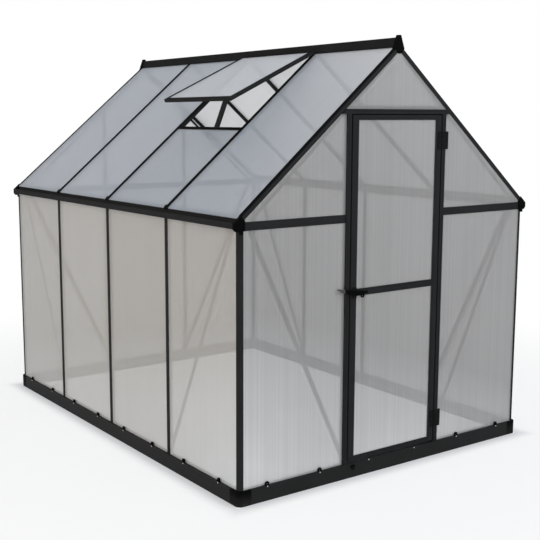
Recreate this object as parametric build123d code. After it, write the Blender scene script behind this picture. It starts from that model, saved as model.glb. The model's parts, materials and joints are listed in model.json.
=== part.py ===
from build123d import *
import os
from math import atan2, cos, degrees, hypot, radians, sin, tan

# A hobby greenhouse: powder-coated aluminium bars with glazing slots, twin-wall sheets, a low base.
# Millimetres. X runs across the gables, Y along the ridge with the door gable at minus Y, Z up.
# The origin lies on the ground under the middle of the house.

# Whole house
base_width = 1844.0
base_length = 2470.0
base_height = 71.0
eave_plane_height = 1285.0  # where the roof sheets' middle plane meets the wall sheets' middle plane
roof_pitch = 40.0  # degrees
wall_inset = 15.0  # base outer face to the middle of the wall sheets
side_bays = 4

# Sheets and the slots that hold them
sheet = 4.0
fit = 0.3  # play on each side of a sheet, and under every part that is laid on another
edge_play = 1.0  # from a sheet's edge to the bottom of its slot

# Extruded bars
skin = 2.0
bar_face = 25.0
bar_inner_face = 20.0
bar_web = 3.0
stem_width = 14.0
stem_lip = 4.0
frame_depth = 18.0  # sheet middle to the inner face of the bars
bar_eave_cut = 24.0  # where the roof bars lose their stem over the eave
overrun = 40.0

# Corner posts and gable rafters
corner_leg = 19.0
corner_core = 9.0
corner_hollow_start = 3.5
corner_bevel = 11.0
rafter_leg = 20.0  # down the gable, square to the roof
rafter_roof_leg = 16.0
rafter_bevel = 5.0
rafter_start = 14.0  # up the slope from the wall sheets to the rafters' feet

# Base
base_skin = 3.0
base_foot = 19.0  # flange width behind the sheets
base_groove = 11.0
base_corner_leg = 70.0
base_corner_round = 24.0

# Eaves
gutter_reach = 30.0
gutter_drop = 43.0  # eave plane down to the gutter's lower edge
gutter_face = 28.0
gutter_lip = 6.0
gutter_seat = 26.0
eave_slot = 12.0
connector_inner_reach = 27.0  # past the wall sheets, towards the middle of the gable
connector_front = 11.0
connector_back = 8.0
connector_drop = 54.0
connector_lip_drop = 18.0  # eave plane down to the top of its outer edge
connector_toe = 10.0
connector_hood = 2.0  # over the rafter's outer face
connector_bevel = 5.0
tongue_middle = 5.0  # from the wall sheets towards the middle of the gable
tongue_width = 18.0
tongue_drop = 13.0
eave_clip_width = 28.0
eave_clip_cover = 16.0  # up the bar's outer face
eave_clip_rise = 4.0
eave_clip_length = 6.0
eave_clip_drop = 6.0

# Ridge
ridge_leg = 22.0
ridge_lower_leg = 20.0
ridge_slot_start = 12.0
crown_rise = 34.5
crown_half_width = 17.0
crown_top_half_width = 8.0
ridge_cap_leg = 34.0  # down each slope from the apex
ridge_cap_proud = 1.0
ridge_cap_drop = 40.0
ridge_cap_rise = 45.5
ridge_cap_front = 8.0
ridge_cap_top_half_width = 6.0
ridge_cap_round = 3.0

# Gable bars
tie_drop = 34.0  # eave plane down to the middle of the rails
tie_face = 38.0
tie_tube = 18.0
door_opening = 584.0
door_post_face = 24.0
door_slot = 10.0
door_groove = 3.0
door_groove_depth = 1.0
door_stop = 14.0  # how far the stop behind the leaf reaches into the opening
door_face = 10.0  # sheet middle to the outer face of the door and its posts
lintel_drop = 296.0  # apex down to the lintel's upper edge
lintel_face = 22.0
back_bar_offset = 304.0

# Braces
brace_width = 24.0
brace_skin = 2.0
brace_start = 60.0  # from the corner to the upper bolt
brace_foot = 110.0

# Roof vent, held open by its stay
vent_bay = 1  # bays count from the door gable
vent_length = 576.0
vent_overlap = 12.0
vent_open = 15.0  # degrees off the roof
vent_rail = 20.0
vent_depth = 18.0
vent_slot_depth = 9.0
vent_hinge_gap = 4.0
sill_place = 601.0  # down the slope from the apex
sill_face = 20.0
stay_width = 30.0
stay_skin = 4.0
stay_foot_share = 0.612
stay_head_share = 0.924

# Door leaf
door_gap = 8.0
door_foot_gap = 10.0
door_head_gap = 5.0
stile_tube = 27.0
stile_lip = 10.0
lip_step = 1.0  # the lips' front face lies this far behind the leaf's face
leaf_back = 8.0
top_rail_tube = 13.0
middle_rail_tube = 14.0
bottom_rail_tube = 13.0
middle_rail_height = 901.0

# Door hinges
hinge_height = 86.0
upper_hinge_drop = 122.0  # leaf's top edge down to the middle of the hinge
lower_hinge_rise = 114.0  # leaf's lower edge up to the middle of the hinge
hinge_plate = 2.5
hinge_radius = 4.0
hinge_pin_radius = 1.8
hinge_axis_lift = 2.0
hinge_leaf_width = 24.0
hinge_wrap = 15.0
hinge_end_play = 0.5

# Door latch
latch_plate_width = 30.0
latch_plate_height = 52.0
latch_plate_skin = 2.0
latch_spindle_radius = 5.0
latch_hub_radius = 11.0
latch_lift = 6.0
latch_skin = 7.0
latch_tongue = 41.0
latch_grip = 76.0
latch_tip_radius = 5.0
eye_radius = 10.0
eye_hole_radius = 5.5
eye_out = 44.0
eye_drop = 15.0
keeper_length = 50.0
keeper_height = 12.0
keeper_skin = 4.0
keeper_overlap = 20.0

# Values worked out from the sizes above
slope = radians(roof_pitch)
half_slot = sheet / 2 + fit
cap_out = half_slot + skin
wall_x = base_width / 2 - wall_inset
wall_y = base_length / 2 - wall_inset
bay = 2 * wall_y / side_bays
apex_z = eave_plane_height + wall_x * tan(slope)
corner_edge = corner_core + edge_play
bar_edge = bar_web / 2 + edge_play
gutter_bottom = eave_plane_height - gutter_drop
connector_bottom = eave_plane_height - connector_drop
connector_inner_x = wall_x - connector_inner_reach
connector_end_y = wall_y - connector_back
ridge_end_y = wall_y - rafter_roof_leg - fit
tie_height = eave_plane_height - tie_drop
post_inner_x = door_opening / 2
post_outer_x = post_inner_x + door_post_face
lintel_top = apex_z - lintel_drop
lintel_bottom = lintel_top - lintel_face
leaf_half = post_inner_x - door_gap
leaf_bottom = base_height + door_foot_gap
leaf_top = lintel_bottom - door_head_gap
door_front_y = -wall_y - door_face
leaf_sheet_out = door_face - lip_step - skin - half_slot
hinge_x = post_inner_x - door_gap / 2
hinge_y = door_front_y - hinge_axis_lift
latch_x = -leaf_half + stile_tube - stile_lip / 2
roof_end = wall_x / cos(slope)
rafter_foot = roof_end - rafter_start
rafter_inner_drop = rafter_leg / cos(slope)
bar_lines = [-wall_y + bay * count for count in range(side_bays + 1)]

os.makedirs("parts", exist_ok=True)


def rect(u0, u1, v0, v1):
    """A rectangle between two pairs of section coordinates."""
    return Pos((u0 + u1) / 2, (v0 + v1) / 2) * Rectangle(abs(u1 - u0), abs(v1 - v0))


def outline(*points):
    """A flat face inside straight edges."""
    return make_face(Polyline(*points, close=True))


def block(x0, x1, y0, y1, z0, z1):
    """A box between two corners."""
    middle = Pos((x0 + x1) / 2, (y0 + y1) / 2, (z0 + z1) / 2)
    return middle * Box(abs(x1 - x0), abs(y1 - y0), abs(z1 - z0))


def write(name, *solids):
    """One node of separate solids."""
    export_step(Compound(children=list(solids)) if len(solids) > 1 else solids[0], f"parts/{name}.step")


def across(shape):
    """The twin on the other long side."""
    return mirror(shape, about=Plane.YZ)


def behind(shape):
    """The twin on the other gable."""
    return mirror(shape, about=Plane.XZ)


def left_slope():
    """The left roof's frame: X down the slope from the apex, Y to the front, Z outward."""
    return Plane((0, 0, apex_z), x_dir=(-cos(slope), 0, -sin(slope)), z_dir=(-sin(slope), 0, cos(slope)))


def slope_block(s0, s1, y0, y1, n0, n1):
    """A box on the left roof: down the slope, along the ridge, off the sheets' middle."""
    return left_slope() * block(s0, s1, -y0, -y1, n0, n1)


def bar_section():
    """A glazing bar: outer cap, web, inner face and a bolt channel behind, with a slot on each side."""
    section = rect(-bar_face / 2, bar_face / 2, half_slot, cap_out)
    section += rect(-bar_web / 2, bar_web / 2, -half_slot, half_slot)
    section += rect(-bar_inner_face / 2, bar_inner_face / 2, -cap_out, -half_slot)
    for side in (-1, 1):
        edge = side * stem_width / 2
        section += rect(edge, edge - side * skin, -frame_depth, -cap_out)
        section += rect(edge, edge - side * stem_lip, -frame_depth, skin - frame_depth)
    return section


def corner_section(first_leg, second_leg, bevel):
    """A right-angled bar with a slot in each leg, a bevelled outer edge and a hollow core."""
    section = rect(-cap_out, first_leg, -cap_out, cap_out)
    section += rect(-cap_out, cap_out, -cap_out, second_leg)
    section += rect(-cap_out, corner_core, -cap_out, corner_core)
    section -= rect(corner_core, first_leg, -half_slot, half_slot)
    section -= rect(-half_slot, half_slot, corner_core, second_leg)
    hollow_end = corner_core - skin
    section -= rect(corner_hollow_start, hollow_end, corner_hollow_start, hollow_end)
    bevel_end = bevel - cap_out
    section -= outline((-cap_out, -cap_out), (bevel_end, -cap_out), (-cap_out, bevel_end))
    return section


def tie_section():
    """A gable rail with a tube in the middle and a slot above and below."""
    section = rect(-tie_tube / 2, tie_tube / 2, -frame_depth, cap_out)
    section -= rect(skin - tie_tube / 2, tie_tube / 2 - skin, skin - frame_depth, half_slot)
    section += rect(-tie_face / 2, tie_face / 2, half_slot, cap_out)
    section += rect(-tie_face / 2, tie_face / 2, -cap_out, -half_slot)
    section -= rect(skin - tie_tube / 2, tie_tube / 2 - skin, -cap_out, -half_slot)
    return section


def base_section():
    """The base channel: outer face, top and foot flanges, and a groove for the wall sheets."""
    section = rect(wall_inset - base_skin, wall_inset, 0, base_height)
    section += rect(-base_foot, wall_inset, 0, base_skin)
    section += rect(-base_foot, wall_inset, base_height - base_skin, base_height)
    section += rect(-cap_out, cap_out, base_height - base_groove - skin, base_height)
    section -= rect(-half_slot, half_slot, base_height - base_groove, base_height)
    return section


def gutter_section():
    """The eave bar: slot for the wall sheets, rain trough, and a sloped seat for the roof sheets."""
    floor = gutter_bottom + eave_slot
    seat_drop = half_slot / cos(slope)
    section = rect(-cap_out, cap_out, gutter_bottom, floor + skin)
    section -= rect(-half_slot, half_slot, gutter_bottom, floor)
    section += rect(-cap_out, gutter_reach, floor, floor + skin)
    section += rect(gutter_reach - skin, gutter_reach, gutter_bottom, gutter_bottom + gutter_face)
    lip_top = gutter_bottom + gutter_face
    section += rect(gutter_reach - gutter_lip, gutter_reach, lip_top - skin, lip_top)
    section += rect(-cap_out, skin - cap_out, floor, eave_plane_height - seat_drop)
    top = eave_plane_height - seat_drop
    rise = gutter_seat * sin(slope)
    run = gutter_seat * cos(slope)
    under = skin / cos(slope)
    seat = outline(
        (0, top), (-run, top + rise), (-run, top + rise - under), (0, top - under)
    )
    section += seat
    section += rect(-frame_depth, skin - frame_depth, floor, floor + stem_width)
    section += rect(-frame_depth, -cap_out, floor, floor + skin)
    return section


def ridge_section():
    """The ridge bar in the gable plane: two roofed legs with slots, and a raised hollow crown."""
    crown_z = apex_z + crown_rise
    foot = apex_z - crown_half_width * tan(slope) + half_slot / cos(slope)
    peak = apex_z + half_slot / cos(slope)
    crown = outline(
        (-crown_half_width, foot),
        (-crown_top_half_width, crown_z),
        (crown_top_half_width, crown_z),
        (crown_half_width, foot),
        (0, peak),
    )
    side = left_slope_section(0, ridge_leg, half_slot, cap_out)
    side += left_slope_section(-cap_out, ridge_lower_leg, -cap_out, -half_slot)
    side += left_slope_section(ridge_slot_start - skin, ridge_slot_start, -cap_out, cap_out)
    legs = side + mirror(side, about=Plane.YZ)
    hollow = offset(crown, -skin)
    return crown + legs - hollow


def on_left_slope(s, n):
    """Gable coordinates of a place down the left roof and off the sheets' middle."""
    return -s * cos(slope) - n * sin(slope), apex_z - s * sin(slope) + n * cos(slope)


def left_slope_section(s0, s1, n0, n1):
    """A strip of the ridge bar laid along the left roof, in gable coordinates."""
    corners = [(s0, n0), (s1, n0), (s1, n1), (s0, n1)]
    return outline(*[on_left_slope(s, n) for s, n in corners])


def stop_section():
    """The flange behind the leaf, along the inner face of a door post or the lintel."""
    return rect(-door_stop, 0, -frame_depth, skin - frame_depth)


def slotted_tube(width):
    """A door post or lintel: three chambers, a sheet slot in its outer side and a line down its face."""
    wall = width - door_slot
    section = rect(0, width, -frame_depth, door_face)
    section -= rect(wall, width, -half_slot, half_slot)
    section -= rect(skin, wall - skin, skin - frame_depth, door_face - skin)
    section -= rect(wall, width - skin, cap_out, door_face - skin)
    section -= rect(wall, width - skin, skin - frame_depth, -cap_out)
    section -= rect(wall - door_groove / 2, wall + door_groove / 2, door_face - door_groove_depth, door_face)
    return section


def run_along_y(section, y0, y1):
    """A gable-plane section pushed along the ridge."""
    return extrude(Plane((0, y0, 0), x_dir=(1, 0, 0), z_dir=(0, -1, 0)) * section, amount=y0 - y1)


def left_wall_run(section, y0, y1):
    """A section drawn outward and up, pushed along the left wall."""
    plane = Plane((-wall_x, y0, 0), x_dir=(-1, 0, 0), z_dir=(0, 1, 0))
    return extrude(plane * section, amount=y1 - y0)


def front_wall_run(section, x0, x1):
    """A section drawn outward and up, pushed along the front wall."""
    plane = Plane((x1, -wall_y, 0), x_dir=(0, -1, 0), z_dir=(-1, 0, 0))
    return extrude(plane * section, amount=x1 - x0)


def front_upright(section, x, z0, z1):
    """A section drawn along minus X and outward, standing in the front wall."""
    plane = Plane((x, -wall_y, z0), x_dir=(-1, 0, 0), z_dir=(0, 0, 1))
    return extrude(plane * section, amount=z1 - z0)


def front_rail(section, z, x0, x1):
    """A section drawn up and outward, lying in the front wall."""
    plane = Plane((x0, -wall_y, z), x_dir=(0, 0, 1), z_dir=(1, 0, 0))
    return extrude(plane * section, amount=x1 - x0)


def under_rafters(drop):
    """The gable's inside, below the rafters' inner edges."""
    eave = eave_plane_height - drop
    face = outline(
        (-wall_x, 0), (wall_x, 0), (wall_x, eave), (0, apex_z - drop), (-wall_x, eave)
    )
    return extrude(Plane.XZ * face, amount=base_length, both=True)


def make_base():
    """Four channels that butt against rounded corner blocks."""
    half_x = base_width / 2
    half_y = base_length / 2
    front = front_wall_run(base_section(), base_corner_leg - half_x, half_x - base_corner_leg)
    left = left_wall_run(base_section(), base_corner_leg - half_y, half_y - base_corner_leg)
    foot = base_foot + wall_inset
    plan = rect(-half_x, base_corner_leg - half_x, -half_y, foot - half_y)
    plan += rect(-half_x, foot - half_x, -half_y, base_corner_leg - half_y)
    corner = extrude(plan, amount=base_height)
    outer = corner.edges().filter_by(Axis.Z).sort_by(lambda edge: edge.center().X + edge.center().Y)[0]
    corner = fillet(outer, base_corner_round)
    corner -= block(-wall_x - half_slot, -wall_x + half_slot, corner_core - wall_y, wall_y,
                    base_height - base_groove, base_height)
    corner -= block(corner_core - wall_x, wall_x, -wall_y - half_slot, -wall_y + half_slot,
                    base_height - base_groove, base_height)
    write("base_front_rail", front)
    write("base_back_rail", behind(front))
    write("base_left_rail", left)
    write("base_right_rail", across(left))
    write("base_corner_blocks", corner, across(corner), behind(corner), behind(across(corner)))


def make_corner_posts():
    """Four posts between the base corners and the eave connectors."""
    plane = Plane((-wall_x, -wall_y, base_height))
    section = corner_section(corner_leg, corner_leg, corner_bevel)
    post = extrude(plane * section, amount=connector_bottom - base_height)
    write("corner_posts", post, across(post), behind(post), behind(across(post)))


def make_side_walls():
    """Mullions, sheets and braces of the two long walls."""
    bars = []
    for line in bar_lines[1:-1]:
        plane = Plane((-wall_x, line, base_height), x_dir=(0, 1, 0), z_dir=(0, 0, 1))
        bars.append(extrude(plane * bar_section(), amount=gutter_bottom - base_height))
    write("left_wall_mullions", *bars)
    write("right_wall_mullions", *[across(bar) for bar in bars])
    low = base_height - base_groove + edge_play
    high = gutter_bottom + eave_slot - edge_play
    sheets = []
    for start, end in zip(bar_lines[:-1], bar_lines[1:]):
        y0 = start + (corner_edge if start == bar_lines[0] else bar_edge)
        y1 = end - (corner_edge if end == bar_lines[-1] else bar_edge)
        sheets.append(block(-wall_x - sheet / 2, -wall_x + sheet / 2, y0, y1, low, high))
    write("left_wall_panels", *sheets)
    write("right_wall_panels", *[across(piece) for piece in sheets])
    channel_height = gutter_bottom + eave_slot + stem_width / 2
    strap = brace((brace_start - wall_y, channel_height), (bar_lines[1], brace_foot))
    strap = Plane((frame_depth - wall_x, 0, 0), x_dir=(0, 1, 0), z_dir=(1, 0, 0)) * strap
    write("left_wall_braces", strap, behind(strap))
    write("right_wall_braces", across(strap), behind(across(strap)))


def brace(top, foot):
    """A flat strap with rounded ends between two places in a wall plane."""
    run = top[0] - foot[0]
    rise = top[1] - foot[1]
    strap = SlotCenterToCenter(hypot(run, rise), brace_width)
    lean = degrees(atan2(rise, run))
    return extrude(Pos(foot[0] + run / 2, foot[1] + rise / 2) * Rot(0, 0, lean) * strap, amount=brace_skin)


def make_eaves():
    """Gutters, the moulded connectors at their ends and the clips under the roof bars."""
    gutter = left_wall_run(gutter_section(), -connector_end_y, connector_end_y)
    rafter_room = slope_block(0, roof_end, -base_length, -ridge_end_y, -cap_out - fit, overrun)
    gutter -= rafter_room + behind(rafter_room)
    write("left_eave_gutter", gutter)
    write("right_eave_gutter", across(gutter))
    connector = eave_connector()
    write("eave_connectors", connector, across(connector), behind(connector), behind(across(connector)))


def connector_face():
    """The moulded corner's outline in the gable: a shield with a hood over the rafter's foot."""
    outer_x = wall_x + gutter_reach
    inner_n = (connector_inner_x - rafter_foot * cos(slope)) / sin(slope)
    return outline(
        (-connector_inner_x, connector_bottom),
        (connector_toe - outer_x, connector_bottom),
        (-outer_x, gutter_bottom),
        (-outer_x, eave_plane_height - connector_lip_drop),
        on_left_slope(rafter_foot, cap_out + connector_hood),
        on_left_slope(rafter_foot, inner_n),
    )


def connector_room():
    """The space that the gable sheets leave for the moulded corners."""
    room = run_along_y(offset(connector_face(), fit, kind=Kind.INTERSECTION), 0, -base_length)
    return room + across(room)


def eave_connector():
    """The moulded corner with a bevelled front and a tongue down the post."""
    outer_y = -wall_y - connector_front
    solid = run_along_y(connector_face(), -connector_end_y, outer_y)
    front = solid.faces().sort_by(Axis.Y)[0]
    solid = chamfer(front.edges(), connector_bevel)
    start = tongue_middle - tongue_width / 2 - wall_x
    tongue = block(start, start + tongue_width, outer_y, -wall_y - cap_out - fit,
                   connector_bottom - tongue_drop, connector_bottom + connector_bevel)
    return solid + tongue


def eave_clip(line):
    """A moulded cap over the foot of one roof bar."""
    profile = outline(
        (roof_end - eave_clip_cover, cap_out),
        (roof_end, cap_out),
        (roof_end, cap_out - eave_clip_drop),
        (roof_end + eave_clip_length, cap_out - eave_clip_drop),
        (roof_end + eave_clip_length, cap_out),
        (roof_end, cap_out + eave_clip_rise),
        (roof_end - eave_clip_cover, cap_out + eave_clip_rise),
    )
    side = left_slope() * Plane((0, eave_clip_width / 2 - line, 0), x_dir=(1, 0, 0), z_dir=(0, -1, 0))
    return extrude(side * profile, amount=eave_clip_width)


def make_roof():
    """Rafters, roof bars, ridge and its end caps, and the roof sheets."""
    uphill = (cos(slope), 0, sin(slope))
    foot_x, foot_z = on_left_slope(rafter_foot, 0)
    start = Plane((foot_x, -wall_y, foot_z), x_dir=(sin(slope), 0, -cos(slope)), z_dir=uphill)
    section = corner_section(rafter_leg, rafter_roof_leg, rafter_bevel)
    rafter = extrude(start * section, amount=rafter_foot - ridge_cap_leg)
    write("front_rafters", rafter, across(rafter))
    write("back_rafters", behind(rafter), behind(across(rafter)))
    bars = []
    clips = []
    for line in bar_lines[1:-1]:
        foot = left_slope().from_local_coords(Vector(roof_end, -line, 0))
        plane = Plane(foot, x_dir=(0, 1, 0), z_dir=uphill)
        bar = extrude(plane * bar_section(), amount=roof_end - ridge_leg)
        cut_start = (wall_x - bar_eave_cut) / cos(slope)
        y0 = line - bar_face
        y1 = line + bar_face
        bar -= slope_block(cut_start, roof_end + overrun, y0, y1, -overrun, -half_slot)
        bars.append(bar)
        clips.append(eave_clip(line))
    write("left_roof_bars", *bars)
    write("right_roof_bars", *[across(bar) for bar in bars])
    write("roof_bar_clips", *clips, *[across(clip) for clip in clips])
    ridge = run_along_y(ridge_section(), ridge_end_y, -ridge_end_y)
    write("ridge_beam", ridge)
    cap = ridge_cap()
    write("ridge_end_caps", cap, behind(cap))
    make_roof_sheets()


def ridge_cap_face():
    """The cap's gable outline: narrow top, steep flanks, square ends over the rafters, a low tip."""
    left = [
        (-ridge_cap_top_half_width, apex_z + ridge_cap_rise),
        on_left_slope(ridge_cap_leg, cap_out + ridge_cap_proud),
        on_left_slope(ridge_cap_leg, -rafter_leg - ridge_cap_proud),
    ]
    right = [(-x, z) for x, z in reversed(left)]
    return outline(*left, (0, apex_z - ridge_cap_drop), *right)


def ridge_cap():
    """A moulded cap that closes the ridge bar and both rafters at one gable."""
    cap = run_along_y(ridge_cap_face(), -ridge_end_y, -wall_y - ridge_cap_front)
    front = cap.faces().sort_by(Axis.Y)[0]
    return chamfer(front.edges(), ridge_cap_round)


def cap_room():
    """The space that the sheets leave for the ridge caps."""
    room = run_along_y(offset(ridge_cap_face(), fit, kind=Kind.INTERSECTION), fit - ridge_end_y, -base_length)
    return room + behind(room)


def make_roof_sheets():
    """Sheets between the roof bars; the vent's bay has a short one below the sill."""
    sheets = {-1: [], 1: []}
    for count, (start, end) in enumerate(zip(bar_lines[:-1], bar_lines[1:])):
        y0 = start + (corner_edge if count == 0 else bar_edge)
        y1 = end - (corner_edge if count == side_bays - 1 else bar_edge)
        for side in sheets:
            vented = side == -1 and count == vent_bay
            top = sill_place + skin + edge_play if vented else ridge_slot_start + edge_play
            piece = slope_block(top, roof_end, y0, y1, -sheet / 2, sheet / 2)
            piece = piece if side == -1 else across(piece)
            sheets[side].append(piece - cap_room())
    write("left_roof_panels", *sheets[-1])
    write("right_roof_panels", *sheets[1])


def gable_sheet(x0, x1, z0, z1):
    """A sheet in the front gable, trimmed to the rafters' slots and to the moulded corners."""
    piece = block(x0, x1, -wall_y - sheet / 2, -wall_y + sheet / 2, z0, z1)
    piece &= under_rafters(corner_edge / cos(slope))
    return piece - connector_room() - cap_room()


def tie_edges():
    """Sheet edges in the slots of a gable rail, below and above its tube."""
    return tie_height - tie_tube / 2 - edge_play, tie_height + tie_tube / 2 + edge_play


def make_front_gable():
    """Door posts, lintel, rails, sheets and braces of the door gable."""
    post_section = slotted_tube(door_post_face) + stop_section()
    post = front_upright(post_section, -post_inner_x, base_height, lintel_bottom)
    write("door_posts", post, across(post))
    room = under_rafters(rafter_inner_drop)
    lintel = front_rail(slotted_tube(lintel_face), lintel_bottom, -wall_x, wall_x) & room
    between_stops = post_inner_x - door_stop - fit
    write("door_lintel", lintel + front_rail(stop_section(), lintel_bottom, -between_stops, between_stops))
    tie = front_rail(tie_section(), tie_height, -connector_inner_x, -post_outer_x) & room
    write("front_tie_rails", tie, across(tie))
    low = base_height - base_groove + edge_play
    under, over = tie_edges()
    post_edge = post_outer_x - door_slot + edge_play
    lower = gable_sheet(corner_edge - wall_x, -post_edge, low, under)
    upper = gable_sheet(corner_edge - wall_x, -post_edge, over, lintel_bottom - fit)
    top = gable_sheet(-wall_x, wall_x, lintel_top - door_slot + edge_play, apex_z)
    write("front_wall_panels", lower, across(lower), upper, across(upper), top)
    strap = brace((brace_start - wall_x, tie_height), (-post_inner_x - door_post_face / 2, brace_foot))
    strap = Plane((0, frame_depth + brace_skin - wall_y, 0), x_dir=(1, 0, 0), z_dir=(0, -1, 0)) * strap
    write("front_wall_braces", strap, across(strap))


def make_back_gable():
    """Two mullions, rails, sheets and braces of the plain gable, drawn in front and turned to the back."""
    room = under_rafters(rafter_inner_drop)
    bar = front_upright(bar_section(), -back_bar_offset, base_height, apex_z) & room
    write("back_wall_mullions", behind(bar), behind(across(bar)))
    reach = back_bar_offset + bar_face / 2
    side_tie = front_rail(tie_section(), tie_height, -connector_inner_x, -reach) & room
    middle_tie = front_rail(tie_section(), tie_height, bar_face - reach, reach - bar_face)
    write("back_tie_rails", behind(side_tie), behind(middle_tie), behind(across(side_tie)))
    low = base_height - base_groove + edge_play
    under, over = tie_edges()
    side_edge = back_bar_offset + bar_edge
    middle_edge = back_bar_offset - bar_edge
    pieces = [
        gable_sheet(corner_edge - wall_x, -side_edge, low, under),
        gable_sheet(corner_edge - wall_x, -side_edge, over, apex_z),
        gable_sheet(-middle_edge, middle_edge, low, under),
        gable_sheet(-middle_edge, middle_edge, over, apex_z),
        gable_sheet(side_edge, wall_x - corner_edge, low, under),
        gable_sheet(side_edge, wall_x - corner_edge, over, apex_z),
    ]
    write("back_wall_panels", *[behind(piece) for piece in pieces])
    strap = brace((brace_start - wall_x, tie_height), (-back_bar_offset, brace_foot))
    strap = Plane((0, frame_depth + brace_skin - wall_y, 0), x_dir=(1, 0, 0), z_dir=(0, -1, 0)) * strap
    write("back_wall_braces", behind(strap), behind(across(strap)))


def vent_plane():
    """The open vent's frame: X down the vent from its hinge, Y to the front, Z outward."""
    hinge_at = -crown_half_width - vent_hinge_gap
    lift = (cap_out + fit) / cos(slope)
    hinge = (hinge_at, 0, apex_z + hinge_at * tan(slope) + lift)
    lean = radians(roof_pitch - vent_open)
    return Plane(hinge, x_dir=(-cos(lean), 0, -sin(lean)), z_dir=(-sin(lean), 0, cos(lean)))


def make_vent():
    """Sill between two roof bars, and the vent frame with its sheet, propped open by a stay."""
    front_line = bar_lines[vent_bay]
    back_line = bar_lines[vent_bay + 1]
    y0 = front_line + bar_face / 2
    y1 = back_line - bar_face / 2
    sill = slope_block(sill_place, sill_place + sill_face, y0, y1, -cap_out, cap_out)
    sill -= slope_block(sill_place + skin, sill_place + sill_face, y0, y1, -half_slot, half_slot)
    write("vent_sill", sill)
    lower = -front_line + vent_overlap
    upper = -back_line - vent_overlap
    frame = block(0, vent_length, upper, lower, 0, vent_depth)
    frame -= block(vent_rail, vent_length - vent_rail, upper + vent_rail, lower - vent_rail, 0, vent_depth)
    sheet_low = vent_depth - skin - 2 * half_slot
    inset = vent_rail - vent_slot_depth
    sheet_high = sheet_low + 2 * half_slot
    frame -= block(inset, vent_length - inset, upper + inset, lower - inset, sheet_low, sheet_high)
    write("vent_frame", vent_plane() * frame)
    edge = inset + edge_play
    pane = block(edge, vent_length - edge, upper + edge, lower - edge, sheet_low + fit, sheet_low + fit + sheet)
    write("vent_panel", vent_plane() * pane)
    width = lower - upper
    foot_y = -(upper + width * stay_foot_share)
    head_y = -(upper + width * stay_head_share)
    foot = left_slope().from_local_coords(Vector(sill_place + sill_face / 2, -foot_y, 0))
    head = vent_plane().from_local_coords(Vector(vent_length - vent_rail / 2, -head_y, vent_depth / 2))
    path = head - foot
    plane = Plane(foot, x_dir=(0, 1, 0), z_dir=path)
    stay = extrude(plane * Rectangle(stay_width, stay_skin), amount=path.length)
    room = slope_block(0, sill_place + overrun, y0, y1, -overrun, cap_out + fit)
    room += vent_plane() * block(0, vent_length + overrun, upper, lower, -fit, overrun)
    write("vent_stay", stay - room)


def leaf_lips(u0, u1):
    """The two lips that hold a leaf sheet's edge, just behind the leaf's face."""
    front = leaf_sheet_out + half_slot
    back = leaf_sheet_out - half_slot
    return rect(u0, u1, front, front + skin) + rect(u0, u1, back - skin, back)


def leaf_rail(tube_low, tube_high, lip_below, lip_above):
    """A door rail: a tube with sheet slots below or above it."""
    section = rect(tube_low, tube_high, -leaf_back, door_face)
    section -= rect(tube_low + skin, tube_high - skin, skin - leaf_back, door_face - skin)
    if lip_below:
        section += leaf_lips(tube_low - stile_lip, tube_low)
    if lip_above:
        section += leaf_lips(tube_high, tube_high + stile_lip)
    half = leaf_half - stile_tube
    return front_rail(section, 0, -half, half)


def make_door():
    """The leaf: two stiles, three rails and two sheets, with its hinges and latch plate."""
    top_tube = leaf_top - top_rail_tube
    bottom_tube = leaf_bottom + bottom_rail_tube
    middle_low = middle_rail_height - middle_rail_tube / 2
    middle_high = middle_rail_height + middle_rail_tube / 2
    rails = [
        leaf_rail(leaf_bottom, bottom_tube, False, True),
        leaf_rail(middle_low, middle_high, True, True),
        leaf_rail(top_tube, leaf_top, True, False),
    ]
    write("door_rails", *rails)
    section = rect(0, -stile_tube, -leaf_back, door_face)
    section -= rect(-skin, skin - stile_tube, skin - leaf_back, door_face - skin)
    section += leaf_lips(-stile_tube - stile_lip, -stile_tube)
    stile = front_upright(section, -leaf_half, leaf_bottom, leaf_top)
    inner = leaf_half - stile_tube
    spans = [(leaf_bottom, bottom_tube + stile_lip), (middle_low - stile_lip, middle_high + stile_lip),
             (top_tube - stile_lip, leaf_top)]
    for low, high in spans:
        stile -= block(-inner, stile_lip - inner, door_front_y, -wall_y + leaf_back, low, high)
    bore = Pos(latch_x, -wall_y, middle_rail_height) * Rot(90, 0, 0)
    bored = stile - bore * Cylinder(latch_spindle_radius + fit, 2 * overrun)
    write("door_stiles", bored, across(stile))
    half = inner - edge_play
    front = -wall_y - leaf_sheet_out - sheet / 2
    sheets = []
    for low, high in ((bottom_tube, middle_low), (middle_high, top_tube)):
        sheets.append(block(-half, half, front, front + sheet, low + edge_play, high - edge_play))
    write("door_panels", *sheets)
    make_hinges()
    make_latch()


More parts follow.
